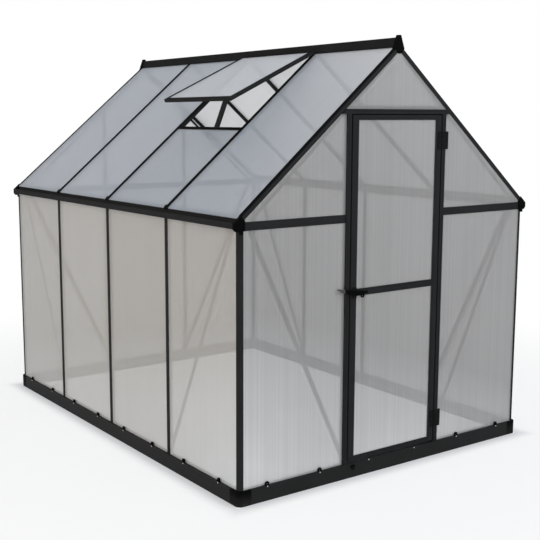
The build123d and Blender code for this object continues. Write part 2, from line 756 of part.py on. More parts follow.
def make_hinges():
    """Two butt hinges: a bracket that wraps the right post, and a leaf on the stile."""
    third = hinge_height / 3
    brackets = []
    leaves = []
    for middle in (leaf_bottom + lower_hinge_rise, leaf_top - upper_hinge_drop):
        low = middle - hinge_height / 2
        high = middle + hinge_height / 2
        back = door_front_y - hinge_plate
        wrap = post_outer_x + hinge_wrap
        bracket = block(post_inner_x + hinge_end_play, wrap, back, door_front_y, low, high)
        bracket += block(post_outer_x, wrap, back, -wall_y - cap_out - fit, low, high)
        for start in (low, high - third):
            place = Pos(hinge_x, hinge_y, start + third / 2)
            bracket += place * Cylinder(hinge_radius, third)
            bracket += block(hinge_x, post_outer_x, back, door_front_y, start, start + third)
        bracket += Pos(hinge_x, hinge_y, middle) * Cylinder(hinge_pin_radius, hinge_height)
        brackets.append(bracket)
        edge = leaf_half - hinge_end_play
        leaf = block(edge - hinge_leaf_width, edge, back, door_front_y, low, high)
        barrel = third - 2 * hinge_end_play
        leaf += Pos(hinge_x, hinge_y, middle) * Cylinder(hinge_radius, barrel)
        leaf += block(edge, hinge_x, back, door_front_y, middle - barrel / 2, middle + barrel / 2)
        leaf -= Pos(hinge_x, hinge_y, middle) * Cylinder(hinge_pin_radius + fit, hinge_height)
        leaves.append(leaf)
    write("door_hinge_brackets", *brackets)
    write("door_hinge_leaves", *leaves)


def make_latch():
    """A plate on the left stile, the turning lever with its padlock eye, and the keeper on the post."""
    centre = Pos(latch_x, door_front_y, middle_rail_height) * Rot(90, 0, 0)
    face = RectangleRounded(latch_plate_width, latch_plate_height, latch_tip_radius)
    plate = extrude(face, amount=latch_plate_skin)
    plate -= Cylinder(latch_spindle_radius + fit, overrun)
    write("latch_plate", centre * plate)
    grip = make_hull((Pos(-latch_tongue + latch_tip_radius, 0) * Circle(latch_tip_radius)).edges()
                     + Circle(latch_hub_radius).edges()
                     + (Pos(latch_grip - latch_tip_radius, 0) * Circle(latch_tip_radius)).edges())
    eye = Pos(eye_out, -eye_drop) * (Circle(eye_radius))
    grip = grip + eye - Pos(eye_out, -eye_drop - fit) * Circle(eye_hole_radius)
    lever = Pos(0, 0, latch_lift) * extrude(grip, amount=latch_skin)
    hub_low = latch_plate_skin + fit
    lever += Pos(0, 0, hub_low) * extrude(Circle(latch_hub_radius), amount=latch_lift - hub_low)
    through = door_face + leaf_back + latch_lift + latch_skin
    lever += Pos(0, 0, latch_lift - through) * extrude(Circle(latch_spindle_radius), amount=through)
    inside = Pos(latch_grip / 4, 0) * SlotOverall(latch_grip / 2 + 2 * latch_hub_radius, 2 * latch_hub_radius)
    lever += Pos(0, 0, latch_lift - through) * extrude(inside, amount=latch_skin)
    write("latch_lever", centre * lever)
    inner_face = frame_depth - wall_y
    end = keeper_overlap - post_outer_x
    keeper = block(end - keeper_length, end, inner_face, inner_face + keeper_skin,
                   middle_rail_height - keeper_height / 2, middle_rail_height + keeper_height / 2)
    write("latch_keeper", keeper)


make_base()
make_corner_posts()
make_side_walls()
make_eaves()
make_roof()
make_front_gable()
make_back_gable()
make_vent()
make_door()
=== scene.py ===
"""Dress a hobby greenhouse: finishes, sheet flutes, small fasteners, thin trim, studio and camera.

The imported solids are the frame. They keep their shape and get procedural finishes by material slot.
Small repeated hardware and the webs inside the twin-wall sheets are made with Geometry Nodes.
Lengths are in metres: X runs across the gable, Y along the ridge away from the door, Z up.
"""

from __future__ import annotations

import json
import logging
import math
from collections.abc import Sequence
from dataclasses import dataclass
from enum import Enum

import bmesh
import bpy
from mathutils import Matrix, Quaternion, Vector

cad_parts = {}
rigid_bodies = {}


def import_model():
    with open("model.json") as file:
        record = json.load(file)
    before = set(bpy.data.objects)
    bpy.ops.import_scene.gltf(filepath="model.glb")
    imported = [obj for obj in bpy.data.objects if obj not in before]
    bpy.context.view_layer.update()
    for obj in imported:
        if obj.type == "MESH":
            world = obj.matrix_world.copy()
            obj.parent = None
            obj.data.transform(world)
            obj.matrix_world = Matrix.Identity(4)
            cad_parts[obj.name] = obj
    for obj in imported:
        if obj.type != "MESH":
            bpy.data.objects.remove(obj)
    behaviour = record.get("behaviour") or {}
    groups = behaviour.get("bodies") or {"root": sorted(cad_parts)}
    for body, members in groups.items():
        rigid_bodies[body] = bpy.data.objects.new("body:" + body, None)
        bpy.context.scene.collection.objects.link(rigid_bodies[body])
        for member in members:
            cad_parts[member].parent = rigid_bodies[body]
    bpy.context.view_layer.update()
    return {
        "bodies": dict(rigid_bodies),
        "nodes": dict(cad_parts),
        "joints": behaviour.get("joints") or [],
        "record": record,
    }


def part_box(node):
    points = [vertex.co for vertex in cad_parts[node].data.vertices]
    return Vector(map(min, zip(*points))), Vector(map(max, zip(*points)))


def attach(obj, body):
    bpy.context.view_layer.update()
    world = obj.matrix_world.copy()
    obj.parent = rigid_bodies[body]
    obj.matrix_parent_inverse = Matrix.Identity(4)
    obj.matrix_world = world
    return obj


LOG = logging.getLogger("greenhouse")
FLUTE_PITCH = 0.0065
UP = Vector((0.0, 0.0, 1.0))
OUT_OF_DOOR = Vector((0.0, -1.0, 0.0))
WHITE = (1.0, 1.0, 1.0, 1.0)

XYZ = tuple[float, float, float]
RGB = tuple[float, float, float]
RGBA = tuple[float, float, float, float]
Outline = Sequence[tuple[float, float]]
Spots = list[tuple[Vector, Quaternion]]
Socket = bpy.types.NodeSocket


class Body(str, Enum):
    """The bodies that pieces ride on."""

    HOUSE = "greenhouse"
    DOOR = "door"
    LATCH = "latch"


class Slot(str, Enum):
    """The record's material slots."""

    FRAME = "frame_coat"
    BASE = "base_steel"
    BRACE = "brace_metal"
    PLASTIC = "black_plastic"
    SHEET = "twin_wall_sheet"


class Across(Enum):
    """The axis that crosses a sheet's flutes."""

    X = Vector((1.0, 0.0, 0.0))
    Y = Vector((0.0, 1.0, 0.0))


def tinted(colour: RGB, share: float = 1.0) -> RGBA:
    """Scale a colour and make it opaque."""
    return tuple(part * share for part in colour) + (1.0,)


def joint_place(frame: dict, name: str) -> Vector:
    """Give the place of a joint by its name."""
    return next(Vector(joint["pos_m"]) for joint in frame["joints"] if joint["name"] == name)


class Graph:
    """Adds nodes and links to one node tree."""

    def __init__(self, tree: bpy.types.NodeTree) -> None:
        """Keep the tree and clear what it holds."""
        self.tree = tree
        tree.nodes.clear()

    def node(
        self, kind: str, inputs: dict[str, object] | None = None, **settings: object
    ) -> bpy.types.Node:
        """Add one node.

        Args:
            kind: The node's type name.
            inputs: Values or source sockets by input name.
            settings: Properties of the node itself.

        Returns:
            The new node.
        """
        made = self.tree.nodes.new(kind)
        for name, value in settings.items():
            setattr(made, name, value)
        for name, value in (inputs or {}).items():
            self.feed(made.inputs[name], value)
        return made

    def feed(self, target: Socket, value: object) -> None:
        """Link a socket to the target, or set the target's own value.

        Args:
            target: The input socket.
            value: A source socket or a plain value.
        """
        if isinstance(value, bpy.types.NodeSocket):
            self.tree.links.new(value, target)
        else:
            target.default_value = value

    def group(self, tree: bpy.types.NodeTree, inputs: dict[str, object]) -> bpy.types.NodeOutputs:
        """Place a shader node group with its inputs and give its outputs."""
        return self.node("ShaderNodeGroup", inputs, node_tree=tree).outputs

    def math(self, operation: str, first: object, second: object = 0.0) -> Socket:
        """Add a Math node.

        Args:
            operation: What the node works out.
            first: Its first value or source.
            second: Its second value or source.

        Returns:
            The result's socket.
        """
        made = self.node("ShaderNodeMath", operation=operation)
        self.feed(made.inputs[0], first)
        self.feed(made.inputs[1], second)
        return made.outputs[0]

    def vector(
        self, operation: str, first: object, second: object = (0.0, 0.0, 0.0)
    ) -> bpy.types.NodeOutputs:
        """Add a Vector Math node.

        Args:
            operation: What the node works out.
            first: Its first vector or source.
            second: Its second vector or source.

        Returns:
            The node's outputs, Vector and Value.
        """
        made = self.node("ShaderNodeVectorMath", operation=operation)
        self.feed(made.inputs[0], first)
        self.feed(made.inputs[1], second)
        return made.outputs

    def blend(self, share: object, first: object, second: object) -> Socket:
        """Add a colour Mix node.

        Args:
            share: How much of the second colour shows.
            first: The colour at 0.
            second: The colour at 1.

        Returns:
            The mixed colour's socket.
        """
        made = self.node("ShaderNodeMix", {"Factor": share}, data_type="RGBA")
        colours = [socket for socket in made.inputs if socket.type == "RGBA"]
        self.feed(colours[0], first)
        self.feed(colours[1], second)
        return next(socket for socket in made.outputs if socket.type == "RGBA")

    def between(self, share: object, first: object, second: object) -> Socket:
        """Add a Mix node for plain numbers and give its result."""
        inputs = {"Factor": share, "A": first, "B": second}
        return self.node("ShaderNodeMix", inputs, data_type="FLOAT").outputs["Result"]

    def spread(self, value: object, low: float, high: float) -> Socket:
        """Add a Map Range node from 0..1 to low..high and give its result."""
        inputs = {"Value": value, "To Min": low, "To Max": high}
        return self.node("ShaderNodeMapRange", inputs).outputs["Result"]

    def clamp(self, value: object) -> Socket:
        """Add a Clamp node to 0..1 and give its result."""
        return self.node("ShaderNodeClamp", {"Value": value}).outputs[0]


def open_material(name: str) -> tuple[bpy.types.Material, Graph]:
    """Start a material with an empty graph.

    Args:
        name: The material's name.

    Returns:
        The material and its graph.
    """
    material = bpy.data.materials.new(name)
    material.use_nodes = True
    return material, Graph(material.node_tree)


def open_group(
    name: str, kind: str, inputs: dict[str, str], outputs: dict[str, str]
) -> tuple[Graph, bpy.types.NodeOutputs, bpy.types.NodeInputs]:
    """Start a node group with named sockets.

    Args:
        name: The group's name.
        kind: The type name of its tree.
        inputs: Socket types by input name.
        outputs: Socket types by output name.

    Returns:
        The graph, what the group is given, and what it puts out.
    """
    tree = bpy.data.node_groups.new(name, kind)
    for direction, sockets in (("INPUT", inputs), ("OUTPUT", outputs)):
        for label, socket_type in sockets.items():
            tree.interface.new_socket(label, in_out=direction, socket_type=socket_type)
    graph = Graph(tree)
    given = graph.node("NodeGroupInput").outputs
    return graph, given, graph.node("NodeGroupOutput").inputs


class EffectGroups:
    """Shader node groups that several finishes share, each built once."""

    def __init__(self) -> None:
        """Build the five groups."""
        self.grain = self._grain()
        self.top_shade = self._top_shade()
        self.dust_and_painted_light = self._dust_and_painted_light()
        self.flutes = self._flutes()
        self.inner_side = self._inner_side()

    @staticmethod
    def _grain() -> bpy.types.NodeTree:
        """Build fine surface grain: a height for bump and a slow change of tone.

        Returns:
            The group.
        """
        graph, given, result = open_group(
            "surface_grain",
            "ShaderNodeTree",
            {
                "Vector": "NodeSocketVector",
                "Fine Scale": "NodeSocketFloat",
                "Slow Scale": "NodeSocketFloat",
            },
            {"Height": "NodeSocketFloat", "Tone": "NodeSocketFloat"},
        )
        fine = {"Vector": given["Vector"], "Scale": given["Fine Scale"], "Detail": 2.0}
        slow = {"Vector": given["Vector"], "Scale": given["Slow Scale"], "Detail": 3.0, "Roughness": 0.6}
        graph.feed(result["Height"], graph.node("ShaderNodeTexNoise", fine).outputs["Fac"])
        graph.feed(result["Tone"], graph.node("ShaderNodeTexNoise", slow).outputs["Fac"])
        return graph.tree

    @staticmethod
    def _top_shade() -> bpy.types.NodeTree:
        """Build a mask for painted shade on tops: 0 on an upright face, 1 on one that looks up far enough.

        Returns:
            The group.
        """
        graph, given, result = open_group(
            "painted_top_shade",
            "ShaderNodeTree",
            {"Normal": "NodeSocketVector", "Full At": "NodeSocketFloat"},
            {"Mask": "NodeSocketFloat"},
        )
        upward = graph.node("ShaderNodeSeparateXYZ", {"Vector": given["Normal"]}).outputs["Z"]
        graph.feed(result["Mask"], graph.clamp(graph.math("DIVIDE", upward, given["Full At"])))
        return graph.tree

    @staticmethod
    def _dust_and_painted_light() -> bpy.types.NodeTree:
        """Build a mask that is thickest at the ground and breaks up with height: real dust on the coated
        parts, painted light on the sheets.

        Returns:
            The group.
        """
        graph, given, result = open_group(
            "ground_dust_and_painted_light",
            "ShaderNodeTree",
            {
                "Vector": "NodeSocketVector",
                "Reach": "NodeSocketFloat",
                "Break Up": "NodeSocketFloat",
            },
            {"Mask": "NodeSocketFloat"},
        )
        parts = graph.node("ShaderNodeSeparateXYZ", {"Vector": given["Vector"]})
        height = graph.math("DIVIDE", parts.outputs["Z"], given["Reach"])
        low = graph.clamp(graph.math("SUBTRACT", 1.0, height))
        patches = {"Vector": given["Vector"], "Scale": given["Break Up"], "Detail": 5.0}
        noise = graph.node("ShaderNodeTexNoise", patches)
        graph.feed(result["Mask"], graph.math("MULTIPLY", low, noise.outputs["Fac"]))
        return graph.tree

    @staticmethod
    def _flutes() -> bpy.types.NodeTree:
        """Build the faint lines of a fluted sheet: 1 over a web, 0 between webs, and a shade for each flute.

        Returns:
            The group.
        """
        graph, given, result = open_group(
            "flute_lines",
            "ShaderNodeTree",
            {
                "Place": "NodeSocketFloat",
                "Pitch": "NodeSocketFloat",
                "Line Share": "NodeSocketFloat",
            },
            {"Line": "NodeSocketFloat", "Shade": "NodeSocketFloat"},
        )
        counted = graph.math("DIVIDE", given["Place"], given["Pitch"])
        step = graph.math("FRACT", counted)
        from_line = graph.math("ABSOLUTE", graph.math("SUBTRACT", step, 0.5))
        edge = graph.math("DIVIDE", from_line, given["Line Share"])
        graph.feed(result["Line"], graph.clamp(graph.math("SUBTRACT", 1.0, edge)))
        number = {"W": graph.math("FLOOR", counted)}
        flute = graph.node("ShaderNodeTexWhiteNoise", number, noise_dimensions="1D")
        graph.feed(result["Shade"], flute.outputs["Value"])
        return graph.tree

    @staticmethod
    def _inner_side() -> bpy.types.NodeTree:
        """Build a mask of the side of a sheet that looks into the house.

        Returns:
            The group.
        """
        graph, given, result = open_group(
            "inner_side",
            "ShaderNodeTree",
            {
                "Vector": "NodeSocketVector",
                "Normal": "NodeSocketVector",
                "Middle": "NodeSocketVector",
            },
            {"Mask": "NodeSocketFloat"},
        )
        away = graph.vector("SUBTRACT", given["Vector"], given["Middle"])["Vector"]
        facing = graph.vector("DOT_PRODUCT", away, given["Normal"])["Value"]
        graph.feed(result["Mask"], graph.math("LESS_THAN", facing, 0.0))
        return graph.tree


@dataclass(frozen=True)
class Finish:
    """A coated or moulded surface with grain, painted shade on tops that look up, and dust near the ground.
    """

    name: str
    colour: RGB
    roughness: float
    specular: float
    fine_scale: float
    grain_height: float
    slow_scale: float = 5.0
    tone_swing: float = 0.25
    roughness_swing: float = 0.08
    # Tone and slope of the painted shade on tops that look up; a tone of 1 paints none.
    top_shade_tone: float = 1.0
    top_shade_full_at: float = 0.6
    dust_colour: RGB = (0.16, 0.15, 0.14)
    dust_reach: float = 0.06
    dust_share: float = 0.25
    dust_break_up: float = 40.0
    bump_strength: float = 0.5

    def build(self, groups: EffectGroups) -> bpy.types.Material:
        """Make the material.

        Args:
            groups: The shared shader node groups.

        Returns:
            The finished material.
        """
        material, graph = open_material(self.name)
        coordinates = graph.node("ShaderNodeTexCoord").outputs
        place = coordinates["Object"]
        facing = {"Normal": coordinates["Normal"], "Full At": self.top_shade_full_at}
        scales = {"Vector": place, "Fine Scale": self.fine_scale, "Slow Scale": self.slow_scale}
        spread = {"Vector": place, "Reach": self.dust_reach, "Break Up": self.dust_break_up}
        top_shade = graph.group(groups.top_shade, facing)
        grain = graph.group(groups.grain, scales)
        dust_and_painted_light = graph.group(groups.dust_and_painted_light, spread)
        dark = tinted(self.colour, 1.0 - self.tone_swing)
        pale = tinted(self.colour, 1.0 + self.tone_swing)
        before_top_shade = graph.blend(grain["Tone"], dark, pale)
        # Faces that look up are mixed towards the top shade tone: painted shade on tops.
        coat = graph.blend(top_shade["Mask"], before_top_shade, tinted(self.colour, self.top_shade_tone))
        dusted = graph.math("MULTIPLY", dust_and_painted_light["Mask"], self.dust_share)
        smoothest = self.roughness - self.roughness_swing
        roughest = self.roughness + self.roughness_swing
        relief = {"Strength": self.bump_strength, "Distance": self.grain_height, "Height": grain["Height"]}
        bump = graph.node("ShaderNodeBump", relief)
        surface = {
            "Base Color": graph.blend(dusted, coat, tinted(self.dust_colour)),
            "Roughness": graph.spread(grain["Tone"], smoothest, roughest),
            "Specular IOR Level": self.specular,
            "Normal": bump.outputs["Normal"],
        }
        shader = graph.node("ShaderNodeBsdfPrincipled", surface)
        graph.node("ShaderNodeOutputMaterial", {"Surface": shader.outputs["BSDF"]})
        return material


@dataclass(frozen=True)
class SheetFinish:
    """A translucent twin-wall sheet, or one of its webs, with faint lines over the webs."""

    name: str
    across: Across
    colour: RGB = (0.38, 0.38, 0.38)
    # Painted light: the side of the sheet that looks into the house is this paler colour, for light let
    # through the sheets.
    painted_inner_light_colour: RGB = (0.8, 0.8, 0.8)
    # Painted light: the sheet is mixed towards this paler colour in soft patches, strongest where its
    # height, tipped by the lean and shifted by the rise, is low.
    painted_light_colour: RGB = (0.95, 0.95, 0.95)
    painted_light_reach: float = 0.86
    painted_light_lean: XYZ = (0.0, 0.2, 0.0)
    painted_light_rise: float = 0.28
    painted_light_break_up: float = 0.7
    opacity: float = 0.6
    line_opacity: float = 0.64
    light_opacity: float = 0.05
    pitch: float = FLUTE_PITCH
    line_share: float = 0.2
    streak_share: float = 0.05
    streak_depth: float = 0.5
    roughness: float = 0.4
    roughness_swing: float = 0.05
    specular: float = 0.25
    tone_swing: float = 0.03
    slow_scale: float = 1.5
    fine_scale: float = 120.0
    house_middle: XYZ = (0.0, 0.0, 0.9)

    def build(self, groups: EffectGroups) -> bpy.types.Material:
        """Make the material.

        Args:
            groups: The shared shader node groups.

        Returns:
            The finished material.
        """
        material, graph = open_material(self.name)
        coordinates = graph.node("ShaderNodeTexCoord").outputs
        place = coordinates["Object"]
        scales = {"Vector": place, "Fine Scale": self.fine_scale, "Slow Scale": self.slow_scale}
        tone = graph.group(groups.grain, scales)["Tone"]
        counted = graph.vector("DOT_PRODUCT", place, self.across.value)["Value"]
        lines = {"Place": counted, "Pitch": self.pitch, "Line Share": self.line_share}
        flutes = graph.group(groups.flutes, lines)
        path = graph.node("ShaderNodeLightPath").outputs
        light = graph.math("MAXIMUM", path["Is Shadow Ray"], path["Is Diffuse Ray"])
        veil = graph.spread(flutes["Line"], self.opacity, self.line_opacity)
        smoothest = self.roughness - self.roughness_swing
        roughest = self.roughness + self.roughness_swing
        surface = {
            "Base Color": self._skin(graph, groups, coordinates, tone, flutes["Shade"]),
            "Roughness": graph.spread(tone, smoothest, roughest),
            "Specular IOR Level": self.specular,
            "Alpha": graph.between(light, veil, self.light_opacity),
        }
        shader = graph.node("ShaderNodeBsdfPrincipled", surface)
        graph.node("ShaderNodeOutputMaterial", {"Surface": shader.outputs["BSDF"]})
        return material

    def _skin(
        self,
        graph: Graph,
        groups: EffectGroups,
        coordinates: bpy.types.NodeOutputs,
        tone: Socket,
        flute_shade: Socket,
    ) -> Socket:
        """Mix the colour of a sheet's skin: streaked by its flutes, paler in soft patches where painted
        light is mixed in, and painted pale on its inner side.

        Args:
            graph: The material's graph.
            groups: The shared shader node groups.
            coordinates: The outputs of the Texture Coordinate node.
            tone: The slow change of tone.
            flute_shade: The shade of each flute.

        Returns:
            The colour's socket.
        """
        place = coordinates["Object"]
        # Painted light: the height is tipped and shifted, and the skin is mixed towards a paler colour where
        # it is low.
        lean = graph.vector("DOT_PRODUCT", place, self.painted_light_lean)["Value"]
        lift = graph.node("ShaderNodeCombineXYZ", {"Z": graph.math("ADD", lean, self.painted_light_rise)})
        lifted = graph.vector("ADD", place, lift.outputs["Vector"])["Vector"]
        spread = {"Vector": lifted, "Reach": self.painted_light_reach, "Break Up": self.painted_light_break_up}
        painted_light_mask = graph.group(groups.dust_and_painted_light, spread)["Mask"]
        facing = {"Vector": place, "Normal": coordinates["Normal"], "Middle": self.house_middle}
        inner = graph.group(groups.inner_side, facing)["Mask"]
        dark = tinted(self.colour, 1.0 - self.tone_swing)
        pale = tinted(self.colour, 1.0 + self.tone_swing)
        with_painted_light = graph.blend(painted_light_mask, graph.blend(tone, dark, pale), tinted(self.painted_light_colour))
        # The inner side is mixed to a paler colour: painted light, for light let through the sheets.
        sided = graph.blend(inner, with_painted_light, tinted(self.painted_inner_light_colour))
        streaks = graph.math("MULTIPLY", flute_shade, self.streak_share)
        return graph.blend(streaks, sided, tinted(self.colour, self.streak_depth))


class Finishes:
    """Every finish of the house, built once."""

    def __init__(self) -> None:
        """Build the shared groups and all materials."""
        groups = EffectGroups()
        self.frame = Finish(
            "satin_black_coat",
            colour=(0.025, 0.025, 0.0253),
            roughness=0.5,
            specular=0.005,
            fine_scale=900.0,
            grain_height=0.00012,
            tone_swing=0.2,
            # Tops that look up are painted at a fifth of the colour: painted shade.
            top_shade_tone=0.2,
        ).build(groups)
        self.base = Finish(
            "coated_base_steel",
            colour=(0.02, 0.02, 0.02),
            roughness=0.55,
            specular=0.05,
            fine_scale=700.0,
            grain_height=0.00015,
            dust_reach=0.05,
            dust_share=0.05,
        ).build(groups)
        self.brace = Finish(
            "coated_strap",
            colour=(0.06, 0.06, 0.06),
            roughness=0.45,
            specular=0.2,
            fine_scale=600.0,
            grain_height=0.0001,
            dust_share=0.0,
        ).build(groups)
        self.plastic = Finish(
            "moulded_black_plastic",
            colour=(0.004, 0.004, 0.0041),
            roughness=0.55,
            specular=0.01,
            fine_scale=1400.0,
            grain_height=0.0002,
            tone_swing=0.3,
        ).build(groups)
        self.hardware = Finish(
            "dull_black_hardware",
            colour=(0.013, 0.013, 0.0131),
            roughness=0.55,
            specular=0.008,
            fine_scale=1400.0,
            grain_height=0.0002,
            tone_swing=0.3,
        ).build(groups)
        # A pale colour for the dots of light seen through holes in the base: painted light.
        self.white = Finish(
            "painted_hole_light",
            colour=(0.72, 0.72, 0.71),
            roughness=0.4,
            specular=0.4,
            fine_scale=1200.0,
            grain_height=0.0001,
            tone_swing=0.05,
            dust_share=0.0,
        ).build(groups)
        self.screw = Finish(
            "blackened_screw",
            colour=(0.012, 0.012, 0.012),
            roughness=0.5,
            specular=0.06,
            fine_scale=1500.0,
            grain_height=0.00005,
            tone_swing=0.3,
            dust_share=0.0,
        ).build(groups)
        # The sheets are one material, but each wall, roof slope and the vent gets its own colour: painted
        # light and shade, lighter and warm on the side walls, darker on the gables, cool on the roof and
        # pale on the vent, and each has its own paler patches of painted light.
        self.gable_sheet = SheetFinish(
            "twin_wall_sheet_gable",
            Across.X,
            colour=(0.35, 0.341, 0.33),
            painted_light_reach=0.72,
            painted_light_lean=(0.35, 0.0, 0.0),
            painted_light_rise=0.12,
            streak_share=0.14,
        ).build(groups)
        self.side_sheet = SheetFinish(
            "twin_wall_sheet_side",
            Across.Y,
            colour=(0.434, 0.411, 0.376),
            painted_light_colour=(0.9, 0.94, 0.98),
        ).build(groups)
        self.left_roof_sheet, self.right_roof_sheet = (
            SheetFinish(
                f"twin_wall_sheet_{side}_roof",
                Across.Y,
                colour=(0.345, 0.378, 0.42),
                painted_inner_light_colour=(0.95, 0.95, 0.95),
                # Painted warm light on each roof slope, strongest near the ridge at the front end.
                painted_light_colour=(0.75, 0.7, 0.66),
                painted_light_reach=0.9,
                painted_light_lean=(lean, 0.8, 0.0),
                painted_light_rise=-1.0,
            ).build(groups)
            for side, lean in (("left", -1.6), ("right", 1.6))
        )
        self.vent_sheet = SheetFinish(
            "twin_wall_sheet_vent", Across.Y, colour=(0.56, 0.575, 0.6)
        ).build(groups)
        self.web = SheetFinish("sheet_web", Across.X, opacity=0.15, line_opacity=0.15).build(groups)

    def for_slot(self, slot: Slot) -> bpy.types.Material:
        """Give the material of a slot that isn't a sheet."""
        return {
            Slot.FRAME: self.frame,
            Slot.BASE: self.base,
            Slot.BRACE: self.brace,
            Slot.PLASTIC: self.plastic,
        }[slot]


class PieceMaker:
    """Turns Geometry Nodes results and meshes into finished pieces."""

    @staticmethod
    def link(name: str, mesh: bpy.types.Mesh) -> bpy.types.Object:
        """Make an object of a mesh, at the origin, and link it to the scene.

        Args:
            name: The object's name.
            mesh: Its mesh.

        Returns:
            The object.
        """
        made = bpy.data.objects.new(name, mesh)
        bpy.context.scene.collection.objects.link(made)
        return made

    @staticmethod
    def points(
        name: str, places: list[Vector], turns: list[Quaternion] | None = None
    ) -> bpy.types.Object:
        """Make a mesh of loose points, with a turn for each where given.

        Args:
            name: The helper object's name.
            places: Where each point is.
            turns: How a copy on each point is turned.

        Returns:
            The helper object.
        """
        mesh = bpy.data.meshes.new(name)
        mesh.from_pydata([tuple(place) for place in places], [], [])
        if turns is not None:
            attribute = mesh.attributes.new("turn", "QUATERNION", "POINT")
            for item, turn in zip(attribute.data, turns):
                item.value = tuple(turn)
        return PieceMaker.link(name, mesh)

    @staticmethod
    def grow(
        helper: bpy.types.Object, tree: bpy.types.NodeTree, values: dict[str, object], name: str
    ) -> bpy.types.Object:
        """Run a tree on a helper and keep the result as a plain mesh.

        Args:
            helper: The object that the tree starts from. It is removed with its modifier.
            tree: The Geometry Nodes tree.
            values: The tree's inputs by name.
            name: The finished piece's name.

        Returns:
            The finished piece.
        """
        modifier = helper.modifiers.new(tree.name, "NODES")
        modifier.node_group = tree
        for socket in tree.interface.items_tree:
            if socket.in_out == "INPUT" and socket.name in values:
                modifier[socket.identifier] = values[socket.name]
        evaluated = helper.evaluated_get(bpy.context.evaluated_depsgraph_get())
        mesh = bpy.data.meshes.new_from_object(evaluated)
        mesh.name = name
        piece = PieceMaker.link(name, mesh)
        bpy.data.objects.remove(helper)
        return piece

    @staticmethod
    def copies(
        name: str,
        shape: bpy.types.Object,
        spots: Spots,
        material: bpy.types.Material,
        tree: bpy.types.NodeTree,
    ) -> bpy.types.Object:
        """Put a turned copy of a shape on each spot, all in one piece.

        Args:
            name: The piece's name.
            shape: The shape that is copied. It is removed.
            spots: The copies' places and turns.
            material: The piece's material.
            tree: The tree of placed copies.

        Returns:
            The finished piece.
        """
        places = [place for place, turn in spots]
        turns = [turn for place, turn in spots]
        helper = PieceMaker.points(f"{name}_places", places, turns)
        piece = PieceMaker.grow(helper, tree, {"Shape": shape, "Material": material}, name)
        bpy.data.objects.remove(shape)
        return piece

    @staticmethod
    def solid(name: str, shape: bmesh.types.BMesh) -> bpy.types.Object:
        """Turn a bmesh into an object with outward faces and free the bmesh.

        Args:
            name: The object's name.
            shape: The bmesh.

        Returns:
            The object.
        """
        bmesh.ops.recalc_face_normals(shape, faces=shape.faces)
        mesh = bpy.data.meshes.new(name)
        shape.to_mesh(mesh)
        shape.free()
        return PieceMaker.link(name, mesh)

    @staticmethod
    def plate(
        name: str, outline: Outline, near: float, far: float, bevel: float, segments: int = 1
    ) -> bpy.types.Object:
        """Make a closed upright plate with bevelled edges.

        Args:
            name: The plate's name.
            outline: Its corners in X and Z.
            near: The Y of one face.
            far: The Y of the other face.
            bevel: How far the bevel reaches from each edge.
            segments: How many faces the bevel has.

        Returns:
            The plate.
        """
        shape = bmesh.new()
        face = shape.faces.new([shape.verts.new((x, near, z)) for x, z in outline])
        pushed = bmesh.ops.extrude_face_region(shape, geom=[face])
        moved = [item for item in pushed["geom"] if isinstance(item, bmesh.types.BMVert)]
        bmesh.ops.translate(shape, verts=moved, vec=(0.0, far - near, 0.0))
        bmesh.ops.bevel(
            shape, geom=list(shape.edges), offset=bevel, segments=segments, affect="EDGES"
        )
        return PieceMaker.solid(name, shape)

    @staticmethod
    def stacked(name: str, rings: list[list[XYZ]]) -> bpy.types.Object:
        """Make a closed solid from rings of points, each joined to the next, with a cap at both ends.

        Args:
            name: The solid's name.
            rings: The points of each ring.

        Returns:
            The solid.
        """
        shape = bmesh.new()
        loops = [[shape.verts.new(place) for place in ring] for ring in rings]
        for lower, upper in zip(loops, loops[1:]):
            for step in range(len(lower)):
                after = (step + 1) % len(lower)
                shape.faces.new((lower[step], lower[after], upper[after], upper[step]))
        shape.faces.new(loops[0])
        shape.faces.new(loops[-1])
        return PieceMaker.solid(name, shape)

    @staticmethod
    def loose_parts(mesh: bpy.types.Mesh, merge: float = 1e-5) -> list[list[Vector]]:
        """Group a node's corners by the separate solid that they belong to.

        Args:
            mesh: The node's mesh. It isn't changed.
            merge: How near corners count as one.

        Returns:
            The corners of each solid, in a fixed order.
        """
        shape = bmesh.new()
        shape.from_mesh(mesh)
        bmesh.ops.remove_doubles(shape, verts=shape.verts, dist=merge)
        left = set(shape.verts)
        parts: list[list[Vector]] = []
        while left:
            front = [left.pop()]
            part = []
            while front:
                vert = front.pop()
                part.append(vert.co.copy())
                for edge in vert.link_edges:
                    other = edge.other_vert(vert)
                    if other in left:
                        left.remove(other)
                        front.append(other)
            parts.append(part)
        shape.free()
        return sorted(parts, key=lambda part: tuple(min(part, key=lambda corner: tuple(corner))))

    @staticmethod
    def keep(
        piece: bpy.types.Object, body: Body, slot: Slot, material: bpy.types.Material | None = None
    ) -> None:
        """Let a piece ride on its body and report it.

        Args:
            piece: The finished piece.
            body: The body that it rides on.
            slot: The record's slot that it belongs to; not used.
            material: Its material, where it has none yet.
        """
        if material is not None:
            piece.data.materials.append(material)
        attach(piece, body.value)
        LOG.info("piece %s on %s with %d faces", piece.name, body.value, len(piece.data.polygons))


